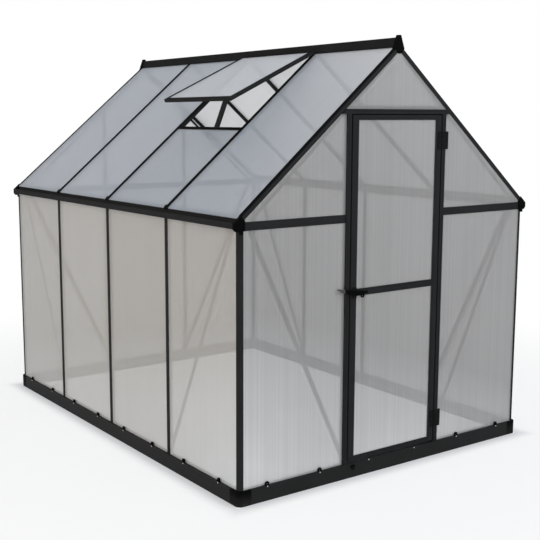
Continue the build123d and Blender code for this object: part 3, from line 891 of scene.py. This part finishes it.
class Trees:
    """The Geometry Nodes trees, each built once."""

    def __init__(self) -> None:
        """Build the tree of placed copies and the tree of sheet webs."""
        self.copies = self._copies()
        self.webs = self._webs()

    @staticmethod
    def _open(
        name: str, inputs: dict[str, str]
    ) -> tuple[Graph, bpy.types.NodeOutputs, bpy.types.NodeInputs]:
        """Start a tree that takes and gives a mesh.

        Args:
            name: The tree's name.
            inputs: Socket types by input name, after the mesh.

        Returns:
            The graph, what the tree is given, and what it puts out.
        """
        mesh = {"Mesh": "NodeSocketGeometry"}
        return open_group(name, "GeometryNodeTree", mesh | inputs, mesh)

    @staticmethod
    def _close(graph: Graph, copies: Socket, material: Socket, result: Socket) -> None:
        """End a tree in Realize Instances and Set Material.

        Args:
            graph: The tree's graph.
            copies: The placed copies.
            material: The material that they get.
            result: The tree's output.
        """
        real = graph.node("GeometryNodeRealizeInstances", {"Geometry": copies})
        dress = {"Geometry": real.outputs[0], "Material": material}
        graph.feed(result, graph.node("GeometryNodeSetMaterial", dress).outputs[0])

    def _copies(self) -> bpy.types.NodeTree:
        """Build a tree that puts a turned copy of one shape on each point.

        Returns:
            The tree.
        """
        sockets = {"Shape": "NodeSocketObject", "Material": "NodeSocketMaterial"}
        graph, given, result = self._open("placed_copies", sockets)
        shape = graph.node("GeometryNodeObjectInfo", {"Object": given["Shape"]})
        places = {
            "Points": given["Mesh"],
            "Instance": shape.outputs["Geometry"],
            "Rotation": self._read(graph, "turn", "QUATERNION"),
        }
        copies = graph.node("GeometryNodeInstanceOnPoints", places)
        self._close(graph, copies.outputs[0], given["Material"], result["Mesh"])
        return graph.tree

    def _webs(self) -> bpy.types.NodeTree:
        """Build a tree that runs a thin web through a sheet from each point to the sheet's far edge.

        Returns:
            The tree.
        """
        graph, given, result = self._open(
            "sheet_webs",
            {
                "Sheet": "NodeSocketObject",
                "Along": "NodeSocketVector",
                "Turn": "NodeSocketRotation",
                "Reach": "NodeSocketFloat",
                "Skip": "NodeSocketFloat",
                "Thickness": "NodeSocketFloat",
                "Depth": "NodeSocketFloat",
                "Material": "NodeSocketMaterial",
            },
        )
        start = graph.node("GeometryNodeInputPosition").outputs[0]
        entry = self._ray(graph, given, start)
        skip = graph.node("ShaderNodeVectorMath", {"Scale": given["Skip"]}, operation="SCALE")
        graph.feed(skip.inputs[0], given["Along"])
        inside = graph.vector("ADD", entry["Hit Position"], skip.outputs[0])["Vector"]
        leave = self._ray(graph, given, inside)
        both = graph.node("FunctionNodeBooleanMath", operation="AND")
        graph.feed(both.inputs[0], entry["Is Hit"])
        graph.feed(both.inputs[1], leave["Is Hit"])
        span = graph.vector("DISTANCE", entry["Hit Position"], leave["Hit Position"])["Value"]
        measured = self._store(graph, given["Mesh"], "span", "FLOAT", span)
        marked = self._store(graph, measured, "inside", "BOOLEAN", both.outputs[0])
        middle = self._middle(graph, entry["Hit Position"], leave["Hit Position"])
        moved = graph.node("GeometryNodeSetPosition", {"Geometry": marked, "Position": middle})
        section = {"X": given["Thickness"], "Y": given["Depth"], "Z": 1.0}
        size = graph.node("ShaderNodeCombineXYZ", section)
        web = graph.node("GeometryNodeMeshCube", {"Size": size.outputs[0]})
        stretch = {"X": 1.0, "Y": 1.0, "Z": self._read(graph, "span", "FLOAT")}
        places = {
            "Points": moved.outputs[0],
            "Selection": self._read(graph, "inside", "BOOLEAN"),
            "Instance": web.outputs["Mesh"],
            "Rotation": given["Turn"],
            "Scale": graph.node("ShaderNodeCombineXYZ", stretch).outputs[0],
        }
        copies = graph.node("GeometryNodeInstanceOnPoints", places)
        self._close(graph, copies.outputs[0], given["Material"], result["Mesh"])
        return graph.tree

    @staticmethod
    def _ray(graph: Graph, given: bpy.types.NodeOutputs, start: Socket) -> bpy.types.NodeOutputs:
        """Add a Raycast node from a start along the flutes to the sheet.

        Args:
            graph: The tree's graph.
            given: What the tree is given.
            start: Where each ray starts.

        Returns:
            The node's outputs.
        """
        sheet = graph.node("GeometryNodeObjectInfo", {"Object": given["Sheet"]})
        aim = {
            "Target Geometry": sheet.outputs["Geometry"],
            "Source Position": start,
            "Ray Direction": given["Along"],
            "Ray Length": given["Reach"],
        }
        return graph.node("GeometryNodeRaycast", aim).outputs

    @staticmethod
    def _middle(graph: Graph, first: Socket, second: Socket) -> Socket:
        """Add a node that gives the middle between two places.

        Args:
            graph: The tree's graph.
            first: One place.
            second: The other place.

        Returns:
            The middle's socket.
        """
        made = graph.node("ShaderNodeMix", {"Factor": 0.5}, data_type="VECTOR")
        ends = [socket for socket in made.inputs if socket.type == "VECTOR"]
        graph.feed(ends[-2], first)
        graph.feed(ends[-1], second)
        return next(socket for socket in made.outputs if socket.type == "VECTOR")

    @staticmethod
    def _store(graph: Graph, mesh: Socket, name: str, kind: str, value: Socket) -> Socket:
        """Add a node that stores a value on each point.

        Args:
            graph: The tree's graph.
            mesh: The points.
            name: The value's name.
            kind: Its data type.
            value: The value.

        Returns:
            The points with the value.
        """
        inputs = {"Geometry": mesh, "Name": name}
        made = graph.node("GeometryNodeStoreNamedAttribute", inputs, data_type=kind)
        target = next(item for item in made.inputs if item.name == "Value" and item.enabled)
        graph.feed(target, value)
        return made.outputs[0]

    @staticmethod
    def _read(graph: Graph, name: str, kind: str) -> Socket:
        """Add a node that reads a stored value and give its socket."""
        made = graph.node("GeometryNodeInputNamedAttribute", {"Name": name}, data_type=kind)
        return made.outputs["Attribute"]


@dataclass
class SheetFamily:
    """Sheets of one node, dressed and filled with the webs that run between their two faces."""

    node: str
    across: Across
    along: Vector
    material: bpy.types.Material
    body: Body = Body.HOUSE
    pitch: float = FLUTE_PITCH
    web_thickness: float = 0.0004
    web_inset: float = 0.0004
    lead: float = 0.002
    skip: float = 0.0005
    reach: float = 4.0

    def build(self, frame: dict, finishes: Finishes, trees: Trees) -> None:
        """Dress the sheets and add their webs.

        Args:
            finishes: The finished materials.
            trees: The Geometry Nodes trees.
        """
        sheet = frame["nodes"][self.node]
        for slot in sheet.material_slots:
            slot.material = self.material
        starts, thickness = self._starts(sheet)
        helper = PieceMaker.points(f"{self.node}_web_starts", starts)
        normal = self.along.cross(self.across.value)
        turn = Matrix((self.across.value, normal, self.along)).transposed().to_quaternion()
        values = {
            "Sheet": sheet,
            "Along": self.along,
            "Turn": turn.to_euler(),
            "Reach": self.reach,
            "Skip": self.skip,
            "Thickness": self.web_thickness,
            "Depth": thickness - 2.0 * self.web_inset,
            "Material": finishes.web,
        }
        webs = PieceMaker.grow(helper, trees.webs, values, f"{self.node}_webs")
        PieceMaker.keep(webs, self.body, Slot.SHEET)

    def _starts(self, sheet: bpy.types.Object) -> tuple[list[Vector], float]:
        """Find where each web starts, just outside each sheet's first edge.

        Args:
            sheet: The node's object.

        Returns:
            The start points and the sheets' thickness.
        """
        normal = self.along.cross(self.across.value)
        starts: list[Vector] = []
        thickness = 0.0
        for corners in PieceMaker.loose_parts(sheet.data):
            side = [corner.dot(self.across.value) for corner in corners]
            run = [corner.dot(self.along) for corner in corners]
            deep = [corner.dot(normal) for corner in corners]
            thickness = max(deep) - min(deep)
            middle = normal * (max(deep) + min(deep)) / 2.0
            level = middle + self.along * (min(run) - self.lead)
            first = math.ceil(min(side) / self.pitch)
            last = math.floor(max(side) / self.pitch)
            for index in range(first, last):
                starts.append(level + self.across.value * (index + 0.5) * self.pitch)
        return starts, thickness


@dataclass
class Glazing:
    """All sheets of the house."""

    roof_pitch: float = math.radians(40.0)
    vent_open: float = math.radians(15.0)

    def build(self, frame: dict, finishes: Finishes, trees: Trees) -> None:
        """Dress every family of sheets and add its webs.

        Args:
            finishes: The finished materials.
            trees: The Geometry Nodes trees.
        """
        gable, side = finishes.gable_sheet, finishes.side_sheet
        left_down = self._down(-1.0, self.roof_pitch)
        right_down = self._down(1.0, self.roof_pitch)
        vent_down = self._down(-1.0, self.roof_pitch - self.vent_open)
        families = [
            SheetFamily("left_wall_panels", Across.Y, UP, side),
            SheetFamily("right_wall_panels", Across.Y, UP, side),
            SheetFamily("front_wall_panels", Across.X, UP, gable),
            SheetFamily("back_wall_panels", Across.X, UP, gable),
            SheetFamily("door_panels", Across.X, UP, gable, Body.DOOR),
            SheetFamily("left_roof_panels", Across.Y, left_down, finishes.left_roof_sheet),
            SheetFamily("right_roof_panels", Across.Y, right_down, finishes.right_roof_sheet),
            SheetFamily("vent_panel", Across.Y, vent_down, finishes.vent_sheet),
        ]
        for family in families:
            family.build(frame, finishes, trees)

    @staticmethod
    def _down(side: float, pitch: float) -> Vector:
        """Give the direction down a slope on one side of the ridge."""
        return Vector((side * math.cos(pitch), 0.0, -math.sin(pitch)))


@dataclass
class Bars:
    """All solid nodes that aren't sheets: they keep their shape and get a finish by slot."""

    hardware: tuple[str, ...] = ("door_hinge_leaves", "door_hinge_brackets", "latch_plate")

    def dress(self, frame: dict, finishes: Finishes) -> None:
        """Give each node the finish of its slot, and the door's flat hardware a duller one.

        Args:
            finishes: The finished materials.
        """
        for subpart in frame["record"]["subparts"]:
            slot = Slot(subpart["material_slot"])
            if slot is Slot.SHEET:
                continue
            node = subpart["node"]
            finish = finishes.hardware if node in self.hardware else finishes.for_slot(slot)
            for place in frame["nodes"][node].material_slots:
                place.material = finish


@dataclass
class BaseClips:
    """Clips that hold the sheets' feet on the base, with a pale dot under each: painted light that shows
    through a hole in the base.
    """

    spacing: float = 0.305
    width: float = 0.022
    height: float = 0.018
    depth: float = 0.007
    leg: float = 0.007
    top: float = 0.007
    arch_spring: float = 0.6
    arch_flat: float = 0.5
    shoulder: float = 0.65
    crown: float = 0.6
    bevel: float = 0.0008
    from_face: float = 0.005
    sink: float = 0.003
    light_dot_radius: float = 0.0032
    light_dot_rise: float = 0.0012
    light_dot_drop: float = 0.0035
    light_dot_rings: int = 3
    light_dot_sides: int = 12
    door_half: float = 0.316

    def build(self, finishes: Finishes, trees: Trees) -> None:
        """Make the clips and their pale dots of painted light all round the base.

        Args:
            finishes: The finished materials.
            trees: The Geometry Nodes trees.
        """
        clip_spots, light_dot_spots = self._stations()
        rows = (
            ("base_sheet_clips", self._clip_shape(), clip_spots, finishes.plastic),
            ("base_edge_studs", self._light_dot_shape(), light_dot_spots, finishes.white),
        )
        for name, shape, spots, material in rows:
            piece = PieceMaker.copies(name, shape, spots, material, trees.copies)
            PieceMaker.keep(piece, Body.HOUSE, Slot.PLASTIC)

    def _stations(self) -> tuple[Spots, Spots]:
        """Work out where clips and pale dots of painted light sit on the four base rails.

        Returns:
            The clips' spots and the pale dots' spots.
        """
        clips: Spots = []
        light_dots: Spots = []
        rails = {
            "base_front_rail": 0.0,
            "base_right_rail": 90.0,
            "base_back_rail": 180.0,
            "base_left_rail": 270.0,
        }
        for node, degrees in rails.items():
            low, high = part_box(node)
            turn = Quaternion(UP, math.radians(degrees))
            sideways = turn @ Across.X.value
            outward = turn @ OUT_OF_DOOR
            face = max(low.dot(outward), high.dot(outward))
            half = abs((high - low).dot(sideways)) / 2.0
            count = math.ceil(half / self.spacing)
            for index in range(-count, count):
                along = (index + 0.5) * self.spacing
                if abs(along) > half - self.width:
                    continue
                spot = sideways * along + UP * high.z
                light_dots.append((spot + outward * face - UP * self.light_dot_drop, turn))
                if node == "base_front_rail" and abs(along) < self.door_half:
                    continue
                clips.append((spot + outward * (face - self.from_face), turn))
        return clips, light_dots

    def _clip_shape(self) -> bpy.types.Object:
        """Make one arched clip that stands astride its pale dot, facing -Y.

        Returns:
            The clip.
        """
        half = self.width / 2.0
        inner = half - self.leg
        arch = self.height - self.top
        right = [
            (inner * self.arch_flat, arch),
            (inner, arch * self.arch_spring),
            (inner, -self.sink),
            (half, -self.sink),
            (half, self.height * self.shoulder),
            (half * self.crown, self.height),
        ]
        left = [(-x, z) for x, z in reversed(right)]
        outline = left[2:] + right + left[:2]
        return PieceMaker.plate(
            "clip_shape", outline, -self.depth / 2.0, self.depth / 2.0, self.bevel
        )

    def _light_dot_shape(self) -> bpy.types.Object:
        """Make one low domed pale dot that faces -Y: painted light seen through a hole in the base.

        Returns:
            The stud.
        """
        rings = []
        for ring in range(self.light_dot_rings):
            rise = math.pi / 2.0 * ring / self.light_dot_rings
            radius = self.light_dot_radius * math.cos(rise)
            out = self.light_dot_rise * math.sin(rise)
            turns = [math.tau * step / self.light_dot_sides for step in range(self.light_dot_sides)]
            rings.append([(radius * math.cos(turn), -out, radius * math.sin(turn)) for turn in turns])
        return PieceMaker.stacked("stud_shape", rings)


@dataclass
class Screws:
    """Round screw heads with a hexagon socket: on the hinges, the latch plate and the braces' ends."""

    radius: float = 0.0042
    height: float = 0.002
    profile: Outline = ((1.0, 0.0), (1.0, 0.4), (0.8, 0.85), (0.6, 1.0))
    socket_radius: float = 0.0019
    socket_depth: float = 0.001
    sides: int = 12
    hinge_rows: tuple[float, ...] = (-0.3, 0.0, 0.3)
    hinge_plate: float = 0.0025
    knuckle: float = 0.004
    leaf_share: float = 0.5
    bracket_share: float = 0.33
    latch_inset: float = 0.0055
    brace_half: float = 0.012
    flat_within: float = 0.001

    def build(self, frame: dict, finishes: Finishes, trees: Trees) -> None:
        """Place the screws on the fixed house and on the door.

        Args:
            finishes: The finished materials.
            trees: The Geometry Nodes trees.
        """
        fixed = self._hinge_screws(frame, "door_hinge_brackets", self.bracket_share)
        fixed += self._brace_screws(frame)
        moving = self._hinge_screws(frame, "door_hinge_leaves", -self.leaf_share)
        moving += self._latch_screws()
        rows = (("house_screws", Body.HOUSE, fixed), ("door_screws", Body.DOOR, moving))
        for name, body, spots in rows:
            head = self._head_shape()
            screws = PieceMaker.copies(name, head, spots, finishes.screw, trees.copies)
            PieceMaker.keep(screws, body, Slot.FRAME)

    def _hinge_screws(self, frame: dict, node: str, share: float) -> Spots:
        """Find the screws of one half of both hinges.

        Args:
            node: The node of the hinge plates.
            share: How far across the plate the screws are, below zero where the plate is left of the pin.

        Returns:
            Places and turns.
        """
        pin = joint_place(frame, "door_swing").x
        side = math.copysign(1.0, share)
        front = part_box("door_stiles")[0].y - self.hinge_plate
        spots = []
        for corners in PieceMaker.loose_parts(frame["nodes"][node].data):
            low = min(corner.z for corner in corners)
            high = max(corner.z for corner in corners)
            edge = max((corner.x - pin) * side for corner in corners)
            across = pin + side * self.knuckle + share * (edge - self.knuckle)
            for row in self.hinge_rows:
                level = (low + high) / 2.0 + row * (high - low)
                spots.append((Vector((across, front, level)), self._facing(OUT_OF_DOOR)))
        return spots

    def _latch_screws(self) -> Spots:
        """Find the two screws of the latch plate.

        Returns:
            Places and turns.
        """
        low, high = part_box("latch_plate")
        middle = (low.x + high.x) / 2.0
        levels = (low.z + self.latch_inset, high.z - self.latch_inset)
        turn = self._facing(OUT_OF_DOOR)
        return [(Vector((middle, low.y, level)), turn) for level in levels]

    def _brace_screws(self, frame: dict) -> Spots:
        """Find the screws at both ends of each brace, on the side that looks into the house.


        Returns:
            Places and turns.
        """
        inward = {
            "left_wall_braces": Across.X.value,
            "right_wall_braces": -Across.X.value,
            "front_wall_braces": Across.Y.value,
            "back_wall_braces": -Across.Y.value,
        }
        spots = []
        for node, normal in inward.items():
            turn = self._facing(normal)
            for corners in PieceMaker.loose_parts(frame["nodes"][node].data):
                face = max(corner.dot(normal) for corner in corners)
                nearest = face - self.flat_within
                flat = [corner for corner in corners if corner.dot(normal) > nearest]
                top = max(flat, key=lambda corner: corner.z)
                foot = min(flat, key=lambda corner: corner.z)
                spots.append((top - UP * self.brace_half, turn))
                spots.append((foot + UP * self.brace_half, turn))
        return spots

    @staticmethod
    def _facing(normal: Vector) -> Quaternion:
        """Give the turn that points a head along a normal."""
        return normal.to_track_quat("Z", "Y")

    def _head_shape(self) -> bpy.types.Object:
        """Make one screw head that stands up along Z.

        Returns:
            The head.
        """
        flat_share = math.cos(math.tau / self.sides)
        bottom = self.height - self.socket_depth
        levels = [(self.radius * wide, self.height * tall, 1.0) for wide, tall in self.profile]
        levels.append((self.socket_radius, self.height, flat_share))
        levels.append((self.socket_radius, bottom, flat_share))
        rings = []
        for radius, level, odd_share in levels:
            ring = []
            for step in range(self.sides):
                angle = math.tau * step / self.sides
                reach = radius * (odd_share if step % 2 else 1.0)
                ring.append((reach * math.cos(angle), reach * math.sin(angle), level))
            rings.append(ring)
        return PieceMaker.stacked("screw_head", rings)


@dataclass
class DoorCatch:
    """A small hooked catch on the base's front face, below the door's free corner."""

    from_corner: float = 0.027
    width: float = 0.024
    height: float = 0.026
    hook: float = 0.013
    notch: float = 0.01
    drop: float = 0.022
    depth: float = 0.004
    bite: float = 0.001
    bevel: float = 0.001
    bevel_faces: int = 2

    def build(self, finishes: Finishes) -> None:
        """Make the catch.

        Args:
            finishes: The finished materials.
        """
        low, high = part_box("base_front_rail")
        level = high.z - self.drop
        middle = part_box("door_stiles")[0].x + self.from_corner
        left = middle - self.width / 2.0
        right = middle + self.width / 2.0
        top = level + self.height / 2.0
        foot = level - self.height / 2.0
        outline = [
            (left, top),
            (right, top),
            (right, foot),
            (right - self.hook, foot),
            (right - self.hook, foot + self.notch),
            (left, foot + self.notch),
        ]
        catch = PieceMaker.plate(
            "door_foot_catch",
            outline,
            low.y + self.bite,
            low.y - self.depth,
            self.bevel,
            self.bevel_faces,
        )
        PieceMaker.keep(catch, Body.HOUSE, Slot.PLASTIC, finishes.plastic)


@dataclass
class LatchTail:
    """The lever's slim tail past the post: a black arm with a grey tip, tilted up a little.

    Both outlines are in X and Z, measured from the lever's pivot.
    """

    arm: Outline = (
        (-0.023, 0.002),
        (-0.065, 0.0048),
        (-0.065, 0.0233),
        (-0.0445, 0.0185),
        (-0.023, 0.016),
    )
    tip: Outline = (
        (-0.063, 0.0047),
        (-0.081, 0.0075),
        (-0.093, 0.017),
        (-0.1115, 0.0235),
        (-0.1115, 0.029),
        (-0.063, 0.0228),
    )
    inset: float = 0.001
    thickness: float = 0.004
    bevel: float = 0.0008

    def build(self, frame: dict, finishes: Finishes) -> None:
        """Make the arm and the tip.

        Args:
            finishes: The finished materials.
        """
        pivot = joint_place(frame, "latch_turn")
        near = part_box("latch_lever")[0].y + self.inset
        far = near + self.thickness
        parts = (
            ("latch_arm", self.arm, Slot.PLASTIC, finishes.plastic),
            ("latch_tip", self.tip, Slot.BRACE, finishes.brace),
        )
        for name, shape, slot, material in parts:
            outline = [(pivot.x + x, pivot.z + z) for x, z in shape]
            piece = PieceMaker.plate(name, outline, near, far, self.bevel)
            PieceMaker.keep(piece, Body.LATCH, slot, material)


@dataclass
class InnerFlanges:
    """Thin flanges of the gable rafters and of the lintel that stand behind the sheets."""

    reach: float = 0.012
    lintel_reach: float = 0.017
    bite: float = 0.004
    thickness: float = 0.002
    clearance: float = 0.0008
    bevel: float = 0.0006
    end_gap: float = 0.02

    def build(self, frame: dict, finishes: Finishes) -> None:
        """Make the flanges of both gables.

        Args:
            finishes: The finished materials.
        """
        gables = {"front_rafters": "front_wall_panels", "back_rafters": "back_wall_panels"}
        for rafters, sheets in gables.items():
            parts = PieceMaker.loose_parts(frame["nodes"][rafters].data)
            for index, corners in enumerate(parts):
                outline = self._rafter_outline(corners)
                self._flange(f"{rafters}_flange_{index}", outline, sheets, finishes)
        low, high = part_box("door_lintel")
        left = low.x + self.end_gap
        right = high.x - self.end_gap
        outline = [
            (left, high.z - self.bite),
            (right, high.z - self.bite),
            (right - self.lintel_reach, high.z + self.lintel_reach),
            (left + self.lintel_reach, high.z + self.lintel_reach),
        ]
        self._flange("lintel_flange", outline, "front_wall_panels", finishes)

    def _rafter_outline(self, corners: list[Vector]) -> Outline:
        """Work out the flange along one rafter's lower edge.

        Args:
            corners: The rafter's corners.

        Returns:
            The flange's corners in X and Z.
        """
        highest = max(corners, key=lambda corner: corner.z)
        lowest = min(corners, key=lambda corner: corner.z)
        rise = highest - lowest
        along = Vector((rise.x, 0.0, rise.z)).normalized()
        inward = Vector((along.z, 0.0, -along.x))
        if inward.z > 0.0:
            inward = -inward
        edge = max(corner.dot(inward) for corner in corners)
        first = min(corner.dot(along) for corner in corners) + self.end_gap
        last = max(corner.dot(along) for corner in corners) - self.end_gap
        rows = (
            (first, edge - self.bite),
            (last, edge - self.bite),
            (last - self.reach, edge + self.reach),
            (first + self.reach, edge + self.reach),
        )
        places = [along * run + inward * offset for run, offset in rows]
        return tuple((place.x, place.z) for place in places)

    def _flange(self, name: str, outline: Outline, sheets: str, finishes: Finishes) -> None:
        """Make one flange just behind a gable's sheets.

        Args:
            name: The piece's name.
            outline: Its corners in X and Z.
            sheets: The node of the sheets that it stands behind.
            finishes: The finished materials.
        """
        low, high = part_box(sheets)
        inside = high.y if abs(high.y) < abs(low.y) else low.y
        into = -math.copysign(1.0, inside)
        near = inside + into * self.clearance
        flange = PieceMaker.plate(name, outline, near, near + into * self.thickness, self.bevel)
        PieceMaker.keep(flange, Body.HOUSE, Slot.FRAME, finishes.frame)


@dataclass(frozen=True)
class Lamp:
    """A square soft light that faces the middle of the house and isn't seen itself."""

    name: str
    place: XYZ
    size: float
    power: float
    colour: RGB
    aim: XYZ = (0.0, 0.0, 1.0)

    def hang(self) -> None:
        """Hang the light in the scene."""
        data = bpy.data.lights.new(self.name, "AREA")
        data.size = self.size
        data.energy = self.power
        data.color = self.colour
        lamp = bpy.data.objects.new(self.name, data)
        bpy.context.scene.collection.objects.link(lamp)
        lamp.location = self.place
        lamp.visible_camera = False
        ahead = Vector(self.aim) - Vector(self.place)
        lamp.rotation_euler = ahead.to_track_quat("-Z", "Y").to_euler()


@dataclass
class Studio:
    """Pale floor, white surroundings, soft lights and the camera."""

    floor_half: float = 30.0
    floor_tone: float = 0.86
    fade_start: float = 1.6
    fade_end: float = 3.6
    # White shares: high inside is painted light under the house, low at the edge adds painted shadow to the
    # real one.
    inside_white: float = 0.92
    edge_white: float = 0.25
    near_white: float = 0.78
    edge_reach: float = 0.1
    horizon_tone: RGB = (1.0, 0.985, 0.96)
    zenith_tone: RGB = (0.34, 0.38, 0.45)
    world_strength: float = 1.15
    lamps: tuple[Lamp, ...] = (
        Lamp("left_soft_light", (-3.6, -0.4, 1.9), 2.0, 17.0, (1.0, 0.88, 0.72)),
        Lamp("front_soft_light", (0.3, -2.5, 3.4), 1.5, 22.0, (0.84, 0.92, 1.0)),
    )
    eye: XYZ = (-3.2523, -4.6240, 1.7123)
    yaw: float = math.radians(35.073)
    dip: float = math.radians(8.716)
    roll: float = math.radians(0.028)
    lens: float = 65.127
    sensor: float = 36.0
    shift: tuple[float, float] = (0.0412, -0.0055)
    see_through_bounces: int = 32

    def build(self) -> None:
        """Set up the floor, world, lights, camera and view transform."""
        self._floor()
        self._world()
        for lamp in self.lamps:
            lamp.hang()
        self._camera()
        bpy.context.scene.view_settings.view_transform = "Standard"
        bpy.context.scene.cycles.transparent_max_bounces = self.see_through_bounces

    def _floor(self) -> None:
        """Lay a pale floor that keeps the shadow near the house and is plain white further out."""
        shape = bmesh.new()
        bmesh.ops.create_grid(shape, x_segments=1, y_segments=1, size=self.floor_half)
        floor = PieceMaker.solid("studio_floor", shape)
        material, graph = open_material("pale_floor")
        tone = tinted((self.floor_tone,) * 3)
        matt = graph.node("ShaderNodeBsdfDiffuse", {"Color": tone})
        white = graph.node("ShaderNodeEmission", {"Color": WHITE, "Strength": 1.0})
        place = graph.node("ShaderNodeTexCoord").outputs["Object"]
        share = graph.math("MULTIPLY", self._whiteness(graph, place), self._seen(graph))
        mix = self._mixed(graph, share, matt.outputs[0], white.outputs[0])
        graph.node("ShaderNodeOutputMaterial", {"Surface": mix})
        floor.data.materials.append(material)

    def _whiteness(self, graph: Graph, place: Socket) -> Socket:
        """Give the floor's share of plain white: least along the base, where the real shadow lies and a
        painted one is added, and high under the house, where light is painted on the shaded floor.

        Args:
            graph: The floor's graph.
            place: The floor's Object coordinates.

        Returns:
            The share from 0 to 1.
        """
        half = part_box("base_corner_blocks")[1]
        distance = graph.vector("ABSOLUTE", place)["Vector"]
        parts = graph.node("ShaderNodeSeparateXYZ", {"Vector": distance}).outputs
        beside = graph.math("SUBTRACT", parts["X"], half.x)
        behind = graph.math("SUBTRACT", parts["Y"], half.y)
        outside = graph.math("MAXIMUM", beside, behind)
        tones = (self.edge_white, self.near_white)
        # Along the base less white is mixed in, so the floor is darker there: the real shadow and a painted
        # one.
        edge = self._ramp(graph, outside, (0.0, self.edge_reach), tones)
        away = graph.vector("LENGTH", place)["Value"]
        far = self._ramp(graph, away, (self.fade_start, self.fade_end), (0.0, 1.0))
        shown = graph.between(far, edge, 1.0)
        # Under the house the floor is nearly plain white: painted light where the house shades it.
        within = graph.math("LESS_THAN", outside, 0.0)
        return graph.between(within, shown, self.inside_white)

    @staticmethod
    def _ramp(
        graph: Graph, value: Socket, start: tuple[float, float], result: tuple[float, float]
    ) -> Socket:
        """Add a smooth ramp.

        Args:
            graph: The graph that it is added to.
            value: What the ramp reads.
            start: The values where it begins and ends.
            result: What it gives there.

        Returns:
            The result's socket.
        """
        inputs = {
            "Value": value,
            "From Min": start[0],
            "From Max": start[1],
            "To Min": result[0],
            "To Max": result[1],
        }
        made = graph.node("ShaderNodeMapRange", inputs, interpolation_type="SMOOTHSTEP")
        return made.outputs["Result"]

    @staticmethod
    def _seen(graph: Graph) -> Socket:
        """Give 1 for a ray from the eye, or one mirrored or let through, and 0 for light.

        Args:
            graph: The graph that the nodes are added to.

        Returns:
            The result's socket.
        """
        path = graph.node("ShaderNodeLightPath").outputs
        seen = graph.math("MAXIMUM", path["Is Camera Ray"], path["Is Glossy Ray"])
        return graph.math("MAXIMUM", seen, path["Is Transmission Ray"])

    @staticmethod
    def _mixed(graph: Graph, share: Socket, first: Socket, second: Socket) -> Socket:
        """Add a Mix Shader node.

        Args:
            graph: The graph that it is added to.
            share: How much of the second shader shows.
            first: The shader at 0.
            second: The shader at 1.

        Returns:
            The mixed shader's socket.
        """
        mix = graph.node("ShaderNodeMixShader", {"Fac": share})
        graph.feed(mix.inputs[1], first)
        graph.feed(mix.inputs[2], second)
        return mix.outputs[0]

    def _world(self) -> None:
        """Show white to the eye and in gloss, and light everything else softly."""
        world = bpy.data.worlds.new("soft_surroundings")
        world.use_nodes = True
        bpy.context.scene.world = world
        graph = Graph(world.node_tree)
        direction = graph.node("ShaderNodeTexCoord").outputs["Generated"]
        height = graph.node("ShaderNodeSeparateXYZ", {"Vector": direction}).outputs["Z"]
        tone = graph.blend(height, tinted(self.horizon_tone), tinted(self.zenith_tone))
        light = {"Color": tone, "Strength": self.world_strength}
        soft = graph.node("ShaderNodeBackground", light)
        white = graph.node("ShaderNodeBackground", {"Color": WHITE, "Strength": 1.0})
        mix = self._mixed(graph, self._seen(graph), soft.outputs[0], white.outputs[0])
        graph.node("ShaderNodeOutputWorld", {"Surface": mix})

    def _camera(self) -> None:
        """Place the camera at the photograph's viewing angle."""
        data = bpy.data.cameras.new("photo_camera")
        data.sensor_width = self.sensor
        data.lens = self.lens
        data.shift_x, data.shift_y = self.shift
        camera = bpy.data.objects.new("photo_camera", data)
        bpy.context.scene.collection.objects.link(camera)
        level = Matrix.Rotation(-self.yaw, 4, "Z")
        tilted = level @ Matrix.Rotation(math.pi / 2.0 - self.dip, 4, "X")
        turned = tilted @ Matrix.Rotation(self.roll, 4, "Z")
        camera.matrix_world = Matrix.Translation(self.eye) @ turned
        bpy.context.scene.camera = camera


def main() -> None:
    """Build the dressed house and its studio."""
    logging.basicConfig(level=logging.INFO, format="%(name)s: %(message)s")
    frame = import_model()
    finishes = Finishes()
    trees = Trees()
    Bars().dress(frame, finishes)
    Glazing().build(frame, finishes, trees)
    BaseClips().build(finishes, trees)
    Screws().build(frame, finishes, trees)
    DoorCatch().build(finishes)
    LatchTail().build(frame, finishes)
    InnerFlanges().build(frame, finishes)
    Studio().build()


if __name__ == "__main__":
    main()
